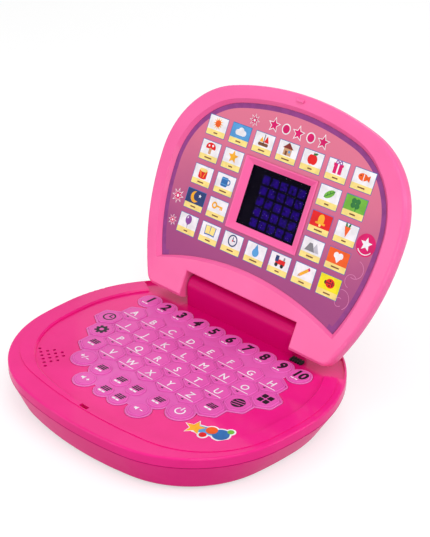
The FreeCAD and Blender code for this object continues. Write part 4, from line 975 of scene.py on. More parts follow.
@dataclass
class Keypad(Assembly):
    """The soft keypad: its sheet and the caps in it, in millimetres."""

    finishes: dict[str, Finish] = field(default_factory=lambda: {"switch_membrane": FILM})
    pitch: float = 18.0
    row_pitch: float = 14.85
    hex_sides: int = 6
    half_flat: float = 8.0
    corner: float = 1.85
    numbers: int = 10
    number_radius: float = 6.9
    sign_radius: float = 8.0
    volume_radius: float = 6.8
    song_radius: float = 5.8
    bow: float = 2.8
    cap_height: float = 0.84
    web: float = 0.26
    web_height: float = 0.12
    stem_radius: float = 2.4
    stem_drop: float = 1.6
    stem_round: float = 0.3
    stem_lap: float = 0.2
    stem_sides: int = 20
    round_sides: int = 48
    rim_band: float = 0.01
    rim_round: float = 0.45
    window_round: float = 0.12
    letter_size: float = 7.6
    letter_rise: float = 0.3
    letter_weight: float = 0.09
    twice_printed: str = "M"
    letter_marks: tuple[Mark, ...] = (
        bar(Ink.WHITE, -0.1, -3.9, 13.4, 0.5), bar(Ink.BLACK, -0.5, -5.9, 2.0, 0.9, edge=0.2),
    )
    digit_size: float = 10.4
    digit_rise: float = 0.7
    digit_weight: float = 0.46
    digit_slant: float = 0.02
    digit_marks: tuple[Mark, ...] = (
        bar(Ink.WHITE, -1.9, -4.6, 2.6, 0.8), bar(Ink.WHITE, 1.2, -4.6, 2.0, 0.8),
    )
    hex_rows: tuple[str, ...] = ("ABCDEFGH", "*IJKLMNO*", "*PQRSTU*", "+VWXYZ+")
    pictures: tuple[Legend, ...] = (Legend.CLOCK, Legend.BLOCKS, Legend.GEAR, Legend.BALL)
    bowed_row: tuple[tuple[float, float, Legend], ...] = (
        (-44.1, 8.0, Legend.SIGNS), (-26.3, 6.8, Legend.LINES), (26.3, 6.8, Legend.LINES),
        (-7.2, 6.4, Legend.LINES), (7.2, 6.4, Legend.LINES),
    )
    song_row: tuple[float, ...] = (-6.5, 6.5)
    first_front_key: int = 3
    # The ring steps carry a painted highlight and the groove steps painted shade, both as copies of the key
    # rubber.
    steps: tuple[tuple[float, float, Finish], ...] = (
        (0.26, 0.0, SHEET), (0.02, 0.40, KEY_RING), (0.05, 0.14, KEY_RING), (0.08, 0.10, KEY_RING),
        (0.14, 0.08, KEY_RING), (0.40, 0.0, KEY_RING), (0.10, -0.08, KEY_GROOVE_SHADE), (0.10, 0.0, KEY_GROOVE_SHADE),
        (0.10, 0.08, KEY_GROOVE_SHADE),
    )

    def centre(self, node: str) -> Vector:
        """The middle of a key's top, in millimetres."""
        low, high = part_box(node)
        return Vector(((low.x + high.x) / 2, (low.y + high.y) / 2, high.z)) / MM

    def hex_caps(self) -> list[Cap]:
        """The caps of the four hexagonal rows.

        Returns:
            The letter caps, the picture caps and the two mode caps.
        """
        found = []
        first = self.centre("letter_key_a")
        pictures = list(self.pictures)
        modes = ["mode_key_1", "mode_key_2"]
        for row, symbols in enumerate(self.hex_rows):
            for column, symbol in enumerate(symbols):
                place = ((column - (len(symbols) - 1) / 2) * self.pitch, first.y - row * self.row_pitch, None)
                if symbol == "*":
                    found.append(Cap(f"picture_key_{len(pictures)}", "picture_keys", *place, pictures.pop(0)))
                elif symbol == "+":
                    found.append(Cap(modes.pop(0), "mode_keys", *place, Legend.LINES))
                else:
                    letter = symbol.lower()
                    found.append(Cap(f"cap_{letter}", f"letter_key_{letter}", *place, symbol))
        return found

    def round_caps(self) -> list[Cap]:
        """The number caps and the caps of the two front rows.

        Returns:
            The round caps.
        """
        found = []
        for number in range(1, self.numbers + 1):
            node = f"number_key_{number}"
            middle = self.centre(node)
            found.append(Cap(f"cap_{number}", node, middle.x, middle.y, self.number_radius, str(number)))
        power = self.centre("power_key")
        volume = self.centre("volume_up_key")
        found.append(Cap("cap_power_key", "power_key", power.x, power.y, self.sign_radius, Legend.POWER))
        for node, legend in (("volume_up_key", Legend.LOUDER), ("volume_down_key", Legend.SOFTER)):
            middle = self.centre(node)
            found.append(Cap(f"cap_{node}", node, middle.x, middle.y, self.volume_radius, legend))
        places = [(x, power.y - self.bow + self.bow * (x / power.x) ** 2, radius, legend)
                  for x, radius, legend in self.bowed_row]
        places += [(x, volume.y, self.song_radius, Legend.LINES) for x in self.song_row]
        for number, place in enumerate(places, start=self.first_front_key):
            found.append(Cap(f"mode_key_{number}", "mode_keys", *place))
        return found

    def build_cap(self, cap: Cap, top: float) -> None:
        """Make one cap with its raised ring, its groove and its legend.

        Args:
            cap: The cap.
            top: The height of its face.
        """
        piece = Piece(cap.piece)
        foot = Matrix.Translation((0.0, 0.0, -self.cap_height))
        if cap.radius is None:
            radius = (self.half_flat + self.web) / math.cos(math.pi / self.hex_sides)
            face = piece.round_corners(piece.polygon(radius, self.hex_sides, foot), self.corner)
        else:
            face = piece.polygon(cap.radius + self.web, self.round_sides, foot)
        piece.paint([face], SHEET)
        face = piece.raise_faces([face], self.web_height)[0]
        for reach, rise, finish in self.steps:
            band = bmesh.ops.inset_region(
                piece.mesh, faces=[face], thickness=reach, depth=rise, use_even_offset=True)["faces"]
            piece.paint(band, finish)
        piece.paint([face], KEY_FACE)
        low = -self.cap_height - self.stem_drop
        wide = self.stem_radius
        stem = ((0.0, low), (wide - self.stem_round, low), (wide, low + self.stem_round),
                (wide, self.stem_lap - self.cap_height))
        piece.turned(stem, self.stem_sides, KEY_RING)
        self.draw_legend(piece, cap)
        piece.finish(cap.node, Matrix.Translation(Vector((cap.x, cap.y, top)) * MM), "key_rubber", [cap.node])

    def draw_legend(self, piece: Piece, cap: Cap) -> None:
        """Print a cap's legend on its face.

        Args:
            piece: The cap's mesh.
            cap: The cap.
        """
        if isinstance(cap.legend, Legend):
            piece.print_marks(cap.legend.value, 0.0)
        elif cap.radius is None:
            shifts = (-1.0, 1.0) if cap.legend in self.twice_printed else (0.0,)
            for layer, shift in enumerate(shifts):
                middle = Matrix.Translation((shift * self.letter_weight, self.letter_rise, layer * LAYER))
                weight = self.letter_weight * (1.0 - abs(shift))
                piece.text(cap.legend, Ink.WHITE.value, middle, self.letter_size, weight, 0.0)
            piece.print_marks(self.letter_marks, 0.0)
        else:
            middle = Matrix.Translation((0.0, self.digit_rise, 0.0))
            look = (self.digit_size, self.digit_weight, self.digit_slant)
            piece.text(cap.legend, Ink.BLACK.value, middle, *look)
            piece.print_marks(self.digit_marks, 0.0)

    def outer_edges(self, piece: Piece) -> tuple[list[bmesh.types.BMEdge], list[bmesh.types.BMEdge]]:
        """Find the sharp top edges of the sheet.

        Args:
            piece: The sheet's mesh.

        Returns:
            Those of its outer edge, and those of the windows.
        """
        top = max(vertex.co.z for vertex in piece.mesh.verts)
        sharp = {edge for edge in piece.mesh.edges
                 if all(vertex.co.z > top - self.rim_band for vertex in edge.verts) and edge.is_manifold
                 and edge.calc_face_angle() > SHARP_ANGLE}
        outer = [max(sharp, key=lambda edge: edge.verts[0].co.x)]
        sharp.remove(outer[0])
        for edge in outer:
            near = {other for vertex in edge.verts for other in vertex.link_edges} & sharp
            sharp -= near
            outer.extend(near)
        return outer, list(sharp)

    def build_sheet(self) -> None:
        """Make the sheet from its CAD shape, with its rounded outer edge painted pale as a highlight."""
        piece = Piece("keypad_skin")
        piece.copy_node("keypad_sheet", Matrix.Identity(4))
        piece.paint(piece.mesh.faces, SHEET)
        outer, windows = self.outer_edges(piece)
        rounds = ((outer, self.rim_round, SHEET_EDGE_HIGHLIGHT), (windows, self.window_round, SHEET))
        for edges, reach, finish in rounds:
            bmesh.ops.bevel(
                piece.mesh, geom=edges, offset=reach, offset_type="OFFSET", segments=3, profile=0.5,
                affect="EDGES", material=piece.slot_of(finish), clamp_overlap=True)
        piece.finish("base", Matrix.Identity(4), "keypad_sheet", ["keypad_sheet"])

    def build(self) -> None:
        """Make the sheet and the caps."""
        self.build_sheet()
        top = self.centre("letter_key_a").z
        for cap in self.hex_caps() + self.round_caps():
            self.build_cap(cap, top)
        self.dress()


@dataclass
class Display(Assembly):
    """The display behind its clear window."""

    finishes: dict[str, Finish] = field(default_factory=lambda: {
        "display_window": WINDOW, "display_module": MODULE,
    })

    def build(self) -> None:
        """Dress the window and the module."""
        self.dress()


@dataclass(frozen=True)
class Card:
    """One picture card: its ground, and its picture drawn about the picture's own middle."""

    ground: Ink
    picture: tuple[Mark, ...]


# The cards in order, row by row from the top left.
CARDS: tuple[Card, ...] = (
    Card(Ink.WHITE, (star(Ink.GOLD, 0.0, 0.0, 9.0, 12), disc(Ink.ORANGE, 0.0, 0.0, 4.8))),
    Card(Ink.SKY, (
        disc(Ink.WHITE, -2.5, -0.6, 4.2, 3.8), disc(Ink.WHITE, 0.2, 0.5, 5.2),
        disc(Ink.WHITE, 2.9, -0.5, 4.2, 3.8), bar(Ink.WHITE, 0.2, -1.7, 7.0, 1.6, edge=0.7),
    )),
    Card(Ink.WHITE, (
        bar(Ink.BROWN, 0.0, -2.7, 8.6, 2.2, edge=0.9), bar(Ink.BLACK, 0.0, 0.6, 0.5, 7.0),
        wedge(Ink.RED, 2.3, 0.4, 4.8, 6.0), wedge(Ink.GOLD, -2.0, 0.0, 3.8, 4.6),
    )),
    Card(Ink.WHITE, (
        bar(Ink.TAN, 0.0, -1.7, 6.6, 4.8), wedge(Ink.MAROON, 0.0, 1.8, 10.4, 5.4),
        bar(Ink.BROWN, -1.0, -2.6, 1.7, 3.0), bar(Ink.SKY, 1.6, -1.4, 1.6, 1.6),
    )),
    Card(Ink.WHITE, (
        disc(Ink.RED, -1.2, -0.7, 5.4, 6.4), disc(Ink.RED, 1.2, -0.7, 5.4, 6.4),
        bar(Ink.BROWN, 0.2, 3.0, 0.6, 2.2, -15.0), disc(Ink.LEAF, 1.8, 3.2, 3.2, 1.5, 20.0),
    )),
    Card(Ink.WHITE, (
        bar(Ink.MAGENTA, 0.0, -1.1, 6.8, 5.8), bar(Ink.MAGENTA, 0.0, 1.9, 7.8, 1.6),
        bar(Ink.WHITE, 0.0, -0.7, 1.2, 6.8), ring(Ink.PLUM, -1.4, 3.4, 2.6, 0.6),
        ring(Ink.PLUM, 1.4, 3.4, 2.6, 0.6),
    )),
    Card(Ink.WHITE, (
        wedge(Ink.ORANGE, 3.4, 0.0, 5.0, 4.8, 90.0), disc(Ink.ORANGE, -0.8, 0.0, 7.6, 4.8),
        bar(Ink.WHITE, -0.2, 0.0, 0.6, 4.2), disc(Ink.BLACK, -2.8, 0.7, 0.9),
    )),
    Card(Ink.WHITE, (
        disc(Ink.RED, 0.0, 0.6, 8.8, 6.6), bar(Ink.WHITE, 0.0, -1.8, 9.2, 2.6),
        bar(Ink.TAN, 0.0, -2.0, 2.4, 4.2, edge=0.6), disc(Ink.WHITE, -1.8, 1.6, 1.4),
        disc(Ink.WHITE, 1.6, 2.0, 1.6),
    )),
    Card(Ink.WHITE, (star(Ink.GOLD, 0.0, 0.0, 9.4, 5),)),
    Card(Ink.WHITE, (
        disc(Ink.GREEN, 0.0, 0.0, 8.8, 4.4, 35.0), bar(Ink.LEAF, 0.0, 0.0, 9.4, 0.5, 35.0),
        bar(Ink.LEAF, 0.4, 1.0, 0.4, 2.4), bar(Ink.LEAF, -1.4, -0.4, 0.4, 2.2),
    )),
    Card(Ink.GREEN, (
        bar(Ink.LEAF, 0.8, -2.6, 0.7, 3.6, 12.0), disc(Ink.LEAF, -1.6, 1.8, 3.6),
        disc(Ink.LEAF, 1.6, 1.8, 3.6), disc(Ink.LEAF, -1.6, -1.0, 3.6), disc(Ink.LEAF, 1.6, -1.0, 3.6),
    )),
    Card(Ink.WHITE, (
        bar(Ink.RED, 0.0, -0.8, 7.4, 5.2), disc(Ink.RED, 0.0, -3.2, 7.4, 2.2),
        disc(Ink.CREAM, 0.0, 1.9, 7.4, 2.6), bar(Ink.GOLD, -1.8, -0.8, 0.5, 5.0, 20.0),
        bar(Ink.GOLD, 1.8, -0.8, 0.5, 5.0, -20.0),
    )),
    Card(Ink.WHITE, (
        ring(Ink.BLUE, 2.6, 0.0, 4.0, 0.8), bar(Ink.BLUE, -0.8, -0.4, 5.8, 6.4, edge=1.0),
        bar(Ink.SKY, -0.8, 1.8, 5.8, 0.8), bar(Ink.SKY, -0.8, -2.0, 5.8, 0.6),
    )),
    Card(Ink.RED, (
        disc(Ink.GOLD, 0.0, 1.0, 4.8, 5.6), bar(Ink.GOLD, 0.0, -0.6, 4.8, 3.0),
        bar(Ink.GOLD, 0.0, -2.1, 8.0, 1.2, edge=0.5), disc(Ink.CREAM, 0.0, -3.3, 1.8),
    )),
    Card(Ink.WHITE, (
        disc(Ink.LEAF, -1.1, 3.2, 1.5, 3.6, 20.0), disc(Ink.LEAF, 1.1, 3.2, 1.5, 3.6, -20.0),
        wedge(Ink.ORANGE, 0.0, 0.2, 5.4, 9.0, 180.0),
    )),
    Card(Ink.NAVY, (
        disc(Ink.GOLD, -0.6, 0.0, 7.8), disc(Ink.NAVY, 1.4, 0.9, 6.6), star(Ink.WHITE, 3.6, 1.6, 2.8, 5),
    )),
    Card(Ink.WHITE, (
        ring(Ink.GOLD, -3.0, 0.0, 4.8, 1.2), bar(Ink.GOLD, 1.6, 0.0, 5.6, 1.1),
        bar(Ink.GOLD, 2.6, -1.0, 0.9, 1.8), bar(Ink.GOLD, 4.0, -1.0, 0.9, 1.8),
    )),
    Card(Ink.WHITE, (
        wedge(Ink.SILVER, 2.8, -1.4, 7.4, 8.0), wedge(Ink.GREY, -1.6, -1.0, 9.4, 10.0),
        wedge(Ink.WHITE, -1.6, 2.6, 2.9, 3.0),
    )),
    Card(Ink.ORANGE, (
        disc(Ink.WHITE, -1.7, 0.9, 4.0), disc(Ink.WHITE, 1.7, 0.9, 4.0),
        wedge(Ink.WHITE, 0.0, -0.7, 8.0, 6.4, 180.0),
    )),
    Card(Ink.WHITE, (
        bar(Ink.GREY, 0.0, -3.2, 0.3, 3.2), wedge(Ink.PLUM, 0.0, -2.0, 1.8, 1.8),
        disc(Ink.PLUM, 0.0, 1.2, 5.6, 6.4), disc(Ink.WHITE, -1.0, 2.6, 1.0, 1.6, -25.0),
    )),
    Card(Ink.WHITE, (
        bar(Ink.BLUE, -2.3, 0.0, 4.8, 6.4, 4.0), bar(Ink.BLUE, 2.3, 0.0, 4.8, 6.4, -4.0),
        bar(Ink.CREAM, -2.2, 0.3, 3.9, 5.4, 4.0), bar(Ink.CREAM, 2.2, 0.3, 3.9, 5.4, -4.0),
    )),
    Card(Ink.WHITE, (
        ring(Ink.NAVY, 0.0, 0.0, 8.2, 0.9), bar(Ink.NAVY, 0.0, 1.1, 0.7, 2.8),
        bar(Ink.NAVY, 1.0, 0.0, 2.4, 0.7), disc(Ink.RED, 0.0, 0.0, 1.2),
    )),
    Card(Ink.WHITE, (wedge(Ink.SKY, 0.0, 1.5, 5.2, 6.4), disc(Ink.SKY, 0.0, -1.2, 5.6))),
    Card(Ink.WHITE, (
        bar(Ink.RED, 0.6, -0.4, 8.0, 3.2, edge=0.4), bar(Ink.NAVY, -2.6, 1.4, 2.8, 4.0, edge=0.3),
        bar(Ink.GREY, 3.2, 2.2, 1.1, 2.2), disc(Ink.BLACK, -2.2, -2.6, 2.6), disc(Ink.BLACK, 2.6, -2.6, 2.6),
    )),
    Card(Ink.WHITE, (
        bar(Ink.GOLD, 0.0, 0.0, 7.4, 2.0, 40.0), wedge(Ink.TAN, -3.5, -2.9, 2.3, 2.8, 130.0),
        bar(Ink.MAGENTA, 3.2, 2.7, 1.4, 2.0, 40.0),
    )),
    Card(Ink.YELLOW, (
        disc(Ink.BLACK, -3.0, 0.0, 2.6), disc(Ink.RED, 0.4, 0.0, 7.2, 6.0),
        bar(Ink.BLACK, 0.4, 0.0, 6.8, 0.5), disc(Ink.BLACK, 0.2, 1.6, 1.2), disc(Ink.BLACK, 0.2, -1.6, 1.2),
        disc(Ink.BLACK, 2.2, 1.0, 1.0), disc(Ink.BLACK, 2.2, -1.0, 1.0),
    )),
)


@dataclass
class PicturePanel(Assembly):
    """The printed panel with its cards and ornaments, in millimetres on the lid."""

    finishes: dict[str, Finish] = field(default_factory=lambda: {"picture_panel": PANEL})
    columns: int = 7
    rows: int = 5
    column_pitch: float = 21.19
    row_pitch: float = 17.47
    top_row: float = 107.43
    card_width: float = 17.5
    card_height: float = 14.2
    card_corner: float = 0.3
    border: float = 0.4
    caption: float = 3.9
    line_height: float = 0.9
    line_corner: float = 0.2
    line_start: float = 3.6
    line_steps: tuple[int, int, int] = (5, 3, 4)
    picture_rise: float = 2.0
    band: float = 3.4
    facing: float = 0.9
    skin: float = 0.1
    arch_top: float = 26.0
    arch_reach: float = 1.7
    title_y: float = 121.4
    title_places: tuple[float, ...] = (-17.0, -6.4, 4.2, 14.8, 25.4)
    title_layers: tuple[tuple[Ink, float], ...] = ((Ink.WHITE, 11.0), (Ink.MAGENTA, 8.6))
    title_dot: float = 0.66
    title_points: int = 5
    badge: tuple[Mark, ...] = (
        disc(Ink.MAGENTA, 80.4, 70.6, 14.8), star(Ink.WHITE, 80.4, 71.2, 9.176, 5),
        arc(Ink.WHITE, 80.4, 70.6, 12.728, 0.6, 215.0, 110.0),
    )
    wheel_points: int = 8
    wheel_inner: float = 0.8
    wheel_hub: float = 0.2
    pinwheels: tuple[tuple[float, float, float], ...] = (
        (-79.6, 53.4, 11.0), (-77.8, 36.4, 8.0), (-34.0, 120.0, 9.0),
    )
    scrolls: tuple[Mark, ...] = (
        arc(Ink.BLUSH, 79.0, 54.0, 12.0, 0.35, 250.0, 190.0),
        arc(Ink.BLUSH, 78.0, 46.0, 9.0, 0.35, 40.0, 220.0),
        arc(Ink.BLUSH, 75.0, 33.0, 13.0, 0.35, 300.0, 170.0),
        arc(Ink.BLUSH, 74.0, 31.0, 6.0, 0.35, 60.0, 260.0),
    )

    def build(self) -> None:
        """Make the print, the cards and the ornaments."""
        self.dress()
        place = LID.matrix() @ Matrix.Translation((0.0, 0.0, LID.face_of("picture_panel") * MM))
        self.build_band(place)
        self.build_ornaments(place)
        cards = iter(CARDS)
        for row in range(self.rows):
            for column in range(self.columns):
                if row in (0, self.rows - 1) or column in (0, 1, self.columns - 2, self.columns - 1):
                    self.build_card(f"card_{row + 1}_{column + 1}", column, row, next(cards), place)

    def build_band(self, place: Matrix) -> None:
        """Make the dark band along the panel's top and sides from the panel's own outline.

        Args:
            place: The panel's face.
        """
        piece = Piece("panel_band")
        piece.copy_node("picture_panel", place.inverted())
        hidden = [face for face in piece.mesh.faces
                  if face.normal.z < self.facing or face.calc_center_median().z < -self.skin]
        bmesh.ops.delete(piece.mesh, geom=hidden, context="FACES")
        middle = list(piece.mesh.faces)
        strip = bmesh.ops.inset_region(
            piece.mesh, faces=middle, thickness=self.band, use_boundary=True, use_even_offset=True)["faces"]
        bmesh.ops.delete(piece.mesh, geom=middle, context="FACES")
        inner_x = self.column_pitch * 2
        inside = []
        for face in strip:
            spot = face.calc_center_median()
            on_arch = spot.y < self.arch_top and abs(spot.x) < inner_x * self.arch_reach
            if on_arch or (abs(spot.x) < inner_x and spot.y < self.top_row):
                inside.append(face)
        bmesh.ops.delete(piece.mesh, geom=inside, context="FACES")
        kept = list(piece.mesh.faces)
        piece.paint(kept, Ink.BAND.value)
        piece.raise_faces(kept, LAYER)
        piece.finish("lid", place, "printed_panel")

    def build_ornaments(self, place: Matrix) -> None:
        """Print the heading, the badge, the pinwheels and the fine scrolls.

        Args:
            place: The panel's face.
        """
        heading = []
        for index, x in enumerate(self.title_places):
            for colour, size in self.title_layers:
                plain = disc(colour, x, self.title_y, size * self.title_dot)
                heading.append(plain if index % 2 else star(colour, x, self.title_y, size, self.title_points))
        wheels = []
        for x, y, size in self.pinwheels:
            wheels += [star(Ink.WHITE, x, y, size, self.wheel_points),
                       star(Ink.MAGENTA, x, y, size * self.wheel_inner, self.wheel_points),
                       disc(Ink.WHITE, x, y, size * self.wheel_hub)]
        for name, marks in (("panel_scrolls", self.scrolls), ("panel_heading", heading),
                            ("panel_badge", self.badge), ("panel_pinwheels", wheels)):
            piece = Piece(name)
            piece.print_marks(marks, LAYER)
            piece.finish("lid", place, "printed_panel")

    def build_card(self, name: str, column: int, row: int, card: Card, place: Matrix) -> None:
        """Make one picture card.

        Args:
            name: Its name.
            column: Its column.
            row: Its row.
            card: What is printed on it.
            place: The panel's face.
        """
        piece = Piece(name)
        inner_width = self.card_width - 2 * self.border
        inner_height = self.card_height - 2 * self.border
        low = -inner_height / 2 + self.caption / 2
        across, down, lengths = self.line_steps
        line = self.line_start + (column * across + row * down) % lengths
        marks = [
            bar(Ink.BLUE, 0.0, 0.0, self.card_width, self.card_height, edge=self.card_corner),
            bar(card.ground, 0.0, 0.0, inner_width, inner_height),
            bar(Ink.CREAM, 0.0, low, inner_width, self.caption),
            bar(Ink.BROWN, 0.0, low, line, self.line_height, edge=self.line_corner),
        ]
        marks += [replace(mark, y=mark.y + self.picture_rise) for mark in card.picture]
        piece.print_marks(marks, 2 * LAYER)
        x = (column - (self.columns - 1) / 2) * self.column_pitch
        y = self.top_row - row * self.row_pitch
        piece.finish("lid", place @ Matrix.Translation(Vector((x, y, 0.0)) * MM), "printed_panel")


@dataclass
class Hardware(Assembly):
    """Fasteners, feet, the cable sleeve and what is inside the base, in millimetres."""

    finishes: dict[str, Finish] = field(default_factory=lambda: {
        "hinge_pins": STEEL, "battery_contacts": STEEL, "speaker": SPEAKER, "main_circuit_board": BOARD,
        "battery_cells": CELL,
    })
    head_radius: float = 2.7
    head_height: float = 1.2
    crown_inset: float = 0.15
    crown_drop: float = 0.3
    crown_foot: float = 0.7
    shank_share: float = 0.24
    point_length: float = 1.0
    point_radius: float = 0.3
    screw_sides: int = 12
    slot_half_width: float = 0.35
    slot_half_length: float = 1.6
    slot_depth: float = 0.7
    slot_ring: float = 2.1
    ribs: int = 5
    rib_share: float = 0.62
    rib_height: float = 2.0
    sleeve_edge: float = 0.4
    core_inset: float = 0.6
    core_drop: float = 0.3
    foot: tuple[tuple[float, float], ...] = (
        (0.0, 0.0), (2.0, 0.0), (2.3, 0.25), (2.8, 0.25), (3.1, 0.0), (4.3, 0.0), (4.8, 0.25), (5.0, 0.7),
        (5.0, 2.0), (0.0, 2.0),
    )
    foot_sides: int = 32

    def add_cross(self, piece: Piece) -> list[bmesh.types.BMFace]:
        """Lay out the flat cross of a screw's recess.

        Args:
            piece: The mesh that gets it.

        Returns:
            Its faces.
        """
        grid = bmesh.ops.create_grid(piece.mesh, x_segments=3, y_segments=3, size=1.0)["verts"]
        for vertex in grid:
            for axis in (0, 1):
                reach = self.slot_half_length if abs(vertex.co[axis]) > 0.5 else self.slot_half_width
                vertex.co[axis] = math.copysign(reach, vertex.co[axis])
        corners = [vertex for vertex in grid
                   if min(abs(vertex.co.x), abs(vertex.co.y)) > self.slot_half_width + MERGE]
        bmesh.ops.delete(piece.mesh, geom=corners, context="VERTS")
        return list({face for vertex in grid if vertex.is_valid for face in vertex.link_faces})

    def add_screw(self, piece: Piece, low: Vector, high: Vector) -> None:
        """Add one cross-head screw that points up.

        Args:
            piece: The mesh that gets it.
            low: The lowest corner of its place.
            high: The highest corner of its place.
        """
        known = set(piece.mesh.verts)
        cross = self.add_cross(piece)
        lines = [edge for edge in {edge for face in cross for edge in face.edges} if edge.is_boundary]
        shank = (high.x - low.x) * self.shank_share
        tip = low.z - high.z
        outline = (
            (self.slot_ring, 0.0), (self.head_radius - self.crown_inset, -self.crown_drop),
            (self.head_radius, -self.crown_foot), (self.head_radius, -self.head_height),
            (shank, -self.head_height), (shank, tip + self.point_length), (self.point_radius, tip),
        )
        rim = piece.turned(outline, self.screw_sides, STEEL)
        half_step = Matrix.Rotation(math.pi / self.screw_sides, 3, "Z")
        bmesh.ops.rotate(piece.mesh, verts=rim, cent=(0.0, 0.0, 0.0), matrix=half_step)
        mouth = [edge for edge in {edge for vertex in rim for edge in vertex.link_edges}
                 if edge.is_boundary and all(abs(vertex.co.z) < MERGE for vertex in edge.verts)]
        piece.paint(bmesh.ops.bridge_loops(piece.mesh, edges=lines + mouth)["faces"], STEEL)
        # Painted shade: the cross recess gets the black rubber finish for the shade inside it, though the
        # screw is steel.
        piece.paint(piece.raise_faces(cross, -self.slot_depth), BLACK_RUBBER)
        made = [vertex for vertex in piece.mesh.verts if vertex not in known]
        middle = (low + high) / 2
        place = Matrix.Translation((middle.x, middle.y, low.z))
        bmesh.ops.transform(piece.mesh, matrix=place @ Matrix.Rotation(math.pi, 4, "X"), verts=made)

    def build_screws(self, node: str, name: str, body: str, place: Matrix) -> None:
        """Make all the screws of one node.

        Args:
            node: The CAD node.
            name: The piece's name.
            body: The body they ride on.
            place: The frame in which they point up.
        """
        piece = Piece(name)
        for low, high in solids_of(node, place.inverted()):
            self.add_screw(piece, low, high)
        piece.finish(body, place, "steel", [node])

    def build_feet(self) -> None:
        """Make the feet, each with a ring groove and a rounded edge."""
        piece = Piece("grip_feet")
        for low, high in solids_of("rubber_feet", Matrix.Identity(4)):
            made = piece.turned(self.foot, self.foot_sides, FOOT_RUBBER)
            middle = (low + high) / 2
            bmesh.ops.translate(piece.mesh, verts=made, vec=(middle.x, middle.y, low.z))
        piece.finish("base", Matrix.Identity(4), "foot_rubber", ["rubber_feet"])

    def build_sleeve(self) -> None:
        """Make the ribbed sleeve beside the barrel."""
        piece = Piece("sleeve_ribs")
        low, high = (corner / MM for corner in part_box("cable_sleeve"))
        inset = Vector((self.core_inset, self.core_inset, 0.0))
        drop = Vector((0.0, 0.0, self.core_drop))
        piece.block(low + inset * 2.0, high - inset - drop, self.sleeve_edge, BLACK_RUBBER)
        pitch = (high.x - low.x) / self.ribs
        for index in range(self.ribs):
            start = Vector((low.x + index * pitch, low.y, high.z - self.rib_height))
            end = Vector((start.x + pitch * self.rib_share, high.y, high.z))
            piece.block(start, end, self.sleeve_edge, BLACK_RUBBER)
        piece.finish("base", Matrix.Identity(4), "sleeve_rubber", ["cable_sleeve"])

    def build(self) -> None:
        """Make or dress each piece."""
        self.build_screws("case_screws", "case_cross_screws", "base", Matrix.Identity(4))
        self.build_screws("lid_screws", "lid_cross_screws", "lid", LID.matrix())
        self.build_feet()
        self.build_sleeve()
        self.dress()


@dataclass(frozen=True)
class Lamp:
    """One soft lamp: where it stands round the object, in degrees and metres, its width and its watts."""

    name: str
    azimuth: float
    elevation: float
    distance: float
    size: float
    power: float


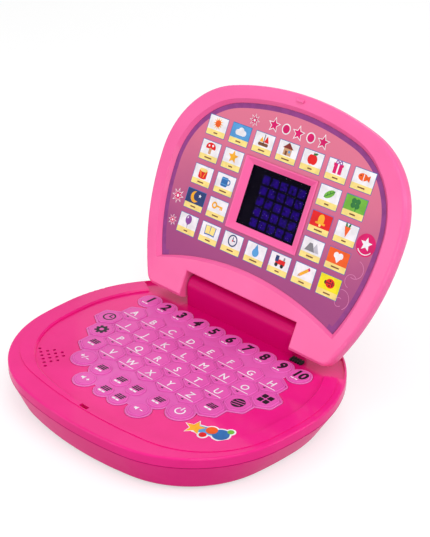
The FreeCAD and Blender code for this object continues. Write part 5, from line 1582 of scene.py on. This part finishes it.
@dataclass
class Studio:
    """The camera, the lights and the pale floor."""

    target: Vector = field(default_factory=lambda: Vector((-0.07022, 0.09058, 0.02805)))
    aim: Vector = field(default_factory=lambda: Vector((0.0, 0.0, 0.06)))
    distance: float = 0.993
    azimuth: float = 44.7115
    elevation: float = 27.8545
    lens: float = 92.26
    sensor: float = 36.0
    ambient: float = 0.5
    lamps: tuple[Lamp, ...] = (
        Lamp("key_lamp", 65.0, 52.0, 1.3, 0.7, 4.4), Lamp("fill_lamp", -35.0, 40.0, 1.4, 0.9, 2.8),
        Lamp("top_lamp", 10.0, 80.0, 1.4, 0.8, 2.6), Lamp("low_lamp", 55.0, 9.0, 1.3, 0.6, 3.3),
        Lamp("side_lamp", -25.0, 7.0, 1.3, 0.7, 4.1), Lamp("right_lamp", 118.0, 24.0, 1.2, 0.5, 3.0),
        Lamp("back_lamp", 215.0, 28.0, 1.4, 0.9, 2.0),
    )
    floor_size: float = 4.0
    floor_cells: int = 8
    floor_share: float = 0.5
    floor_lift: float = 0.56

    def spot(self, azimuth: float, elevation: float, distance: float) -> Vector:
        """A place round the target.

        Args:
            azimuth: Angle to the right of the front, in degrees.
            elevation: Angle above the level, in degrees.
            distance: How far.

        Returns:
            The place.
        """
        around = math.radians(azimuth)
        above = math.radians(elevation)
        level = math.cos(above)
        return self.target + distance * Vector(
            (math.sin(around) * level, -math.cos(around) * level, math.sin(above)))

    def camera(self) -> None:
        """Set the camera at the photograph's viewing angle."""
        data = bpy.data.cameras.new("camera")
        data.sensor_fit = "VERTICAL"
        data.sensor_height = self.sensor
        data.lens = self.lens
        made = bpy.data.objects.new("camera", data)
        made.location = self.spot(self.azimuth, self.elevation, self.distance)
        made.rotation_euler = (self.target - made.location).to_track_quat("-Z", "Y").to_euler()
        bpy.context.scene.collection.objects.link(made)
        bpy.context.scene.camera = made

    def hang(self, lamp: Lamp) -> None:
        """Add one lamp that faces the object.

        Args:
            lamp: The lamp.
        """
        data = bpy.data.lights.new(lamp.name, "AREA")
        data.size = lamp.size
        data.energy = lamp.power
        made = bpy.data.objects.new(lamp.name, data)
        made.location = self.spot(lamp.azimuth, lamp.elevation, lamp.distance)
        made.rotation_euler = (self.aim - made.location).to_track_quat("-Z", "Y").to_euler()
        bpy.context.scene.collection.objects.link(made)

    def seen(self, recipe: Recipe) -> Wire:
        """One for rays that show the background, and zero for those that light the object."""
        path = [recipe.node("ShaderNodeLightPath", {}, {}, name)
                for name in ("Is Camera Ray", "Is Glossy Ray", "Is Transmission Ray")]
        return (path[0] + path[1] + path[2]).least(1.0)

    def world(self) -> None:
        """A white surround that lights the object softly."""
        world = bpy.data.worlds.new("studio")
        bpy.context.scene.world = world
        world.use_nodes = True
        recipe = Recipe(world.node_tree)
        strength = self.ambient + self.seen(recipe) * (1.0 - self.ambient)
        white = (1.0, 1.0, 1.0, 1.0)
        shader = recipe.node("ShaderNodeBackground", {}, {"Color": white, "Strength": strength})
        recipe.end("ShaderNodeOutputWorld", shader)

    def floor(self) -> None:
        """A pale floor that keeps the shadow."""
        mesh = bmesh.new()
        cells = self.floor_cells
        bmesh.ops.create_grid(mesh, x_segments=cells, y_segments=cells, size=self.floor_size)
        data = bpy.data.meshes.new("floor")
        mesh.to_mesh(data)
        mesh.free()
        made = bpy.data.objects.new("floor", data)
        bpy.context.scene.collection.objects.link(made)
        pale = bpy.data.materials.new("pale_floor")
        pale.use_nodes = True
        recipe = Recipe(pale.node_tree)
        grey = (self.floor_share, self.floor_share, self.floor_share, 1.0)
        matt = recipe.node("ShaderNodeBsdfDiffuse", {}, {"Color": grey})
        lift = recipe.node("ShaderNodeEmission", {}, {"Strength": self.seen(recipe) * self.floor_lift})
        both = recipe.node("ShaderNodeAddShader", {}, {0: matt, 1: lift})
        recipe.end("ShaderNodeOutputMaterial", both)
        data.materials.append(pale)

    def build(self) -> None:
        """Set up the whole studio."""
        self.camera()
        for lamp in self.lamps:
            self.hang(lamp)
        self.world()
        self.floor()
        bpy.context.scene.view_settings.view_transform = "Standard"


def main() -> None:
    """Build every sub-assembly in order."""
    logging.basicConfig(level=logging.INFO, format="%(message)s")
    for assembly in (Studio(), Shells(), DeckSticker(), Hardware(), Display(), PicturePanel(), Keypad()):
        assembly.build()
        LOG.info("%s is done", type(assembly).__name__)


if __name__ == "__main__":
    main()
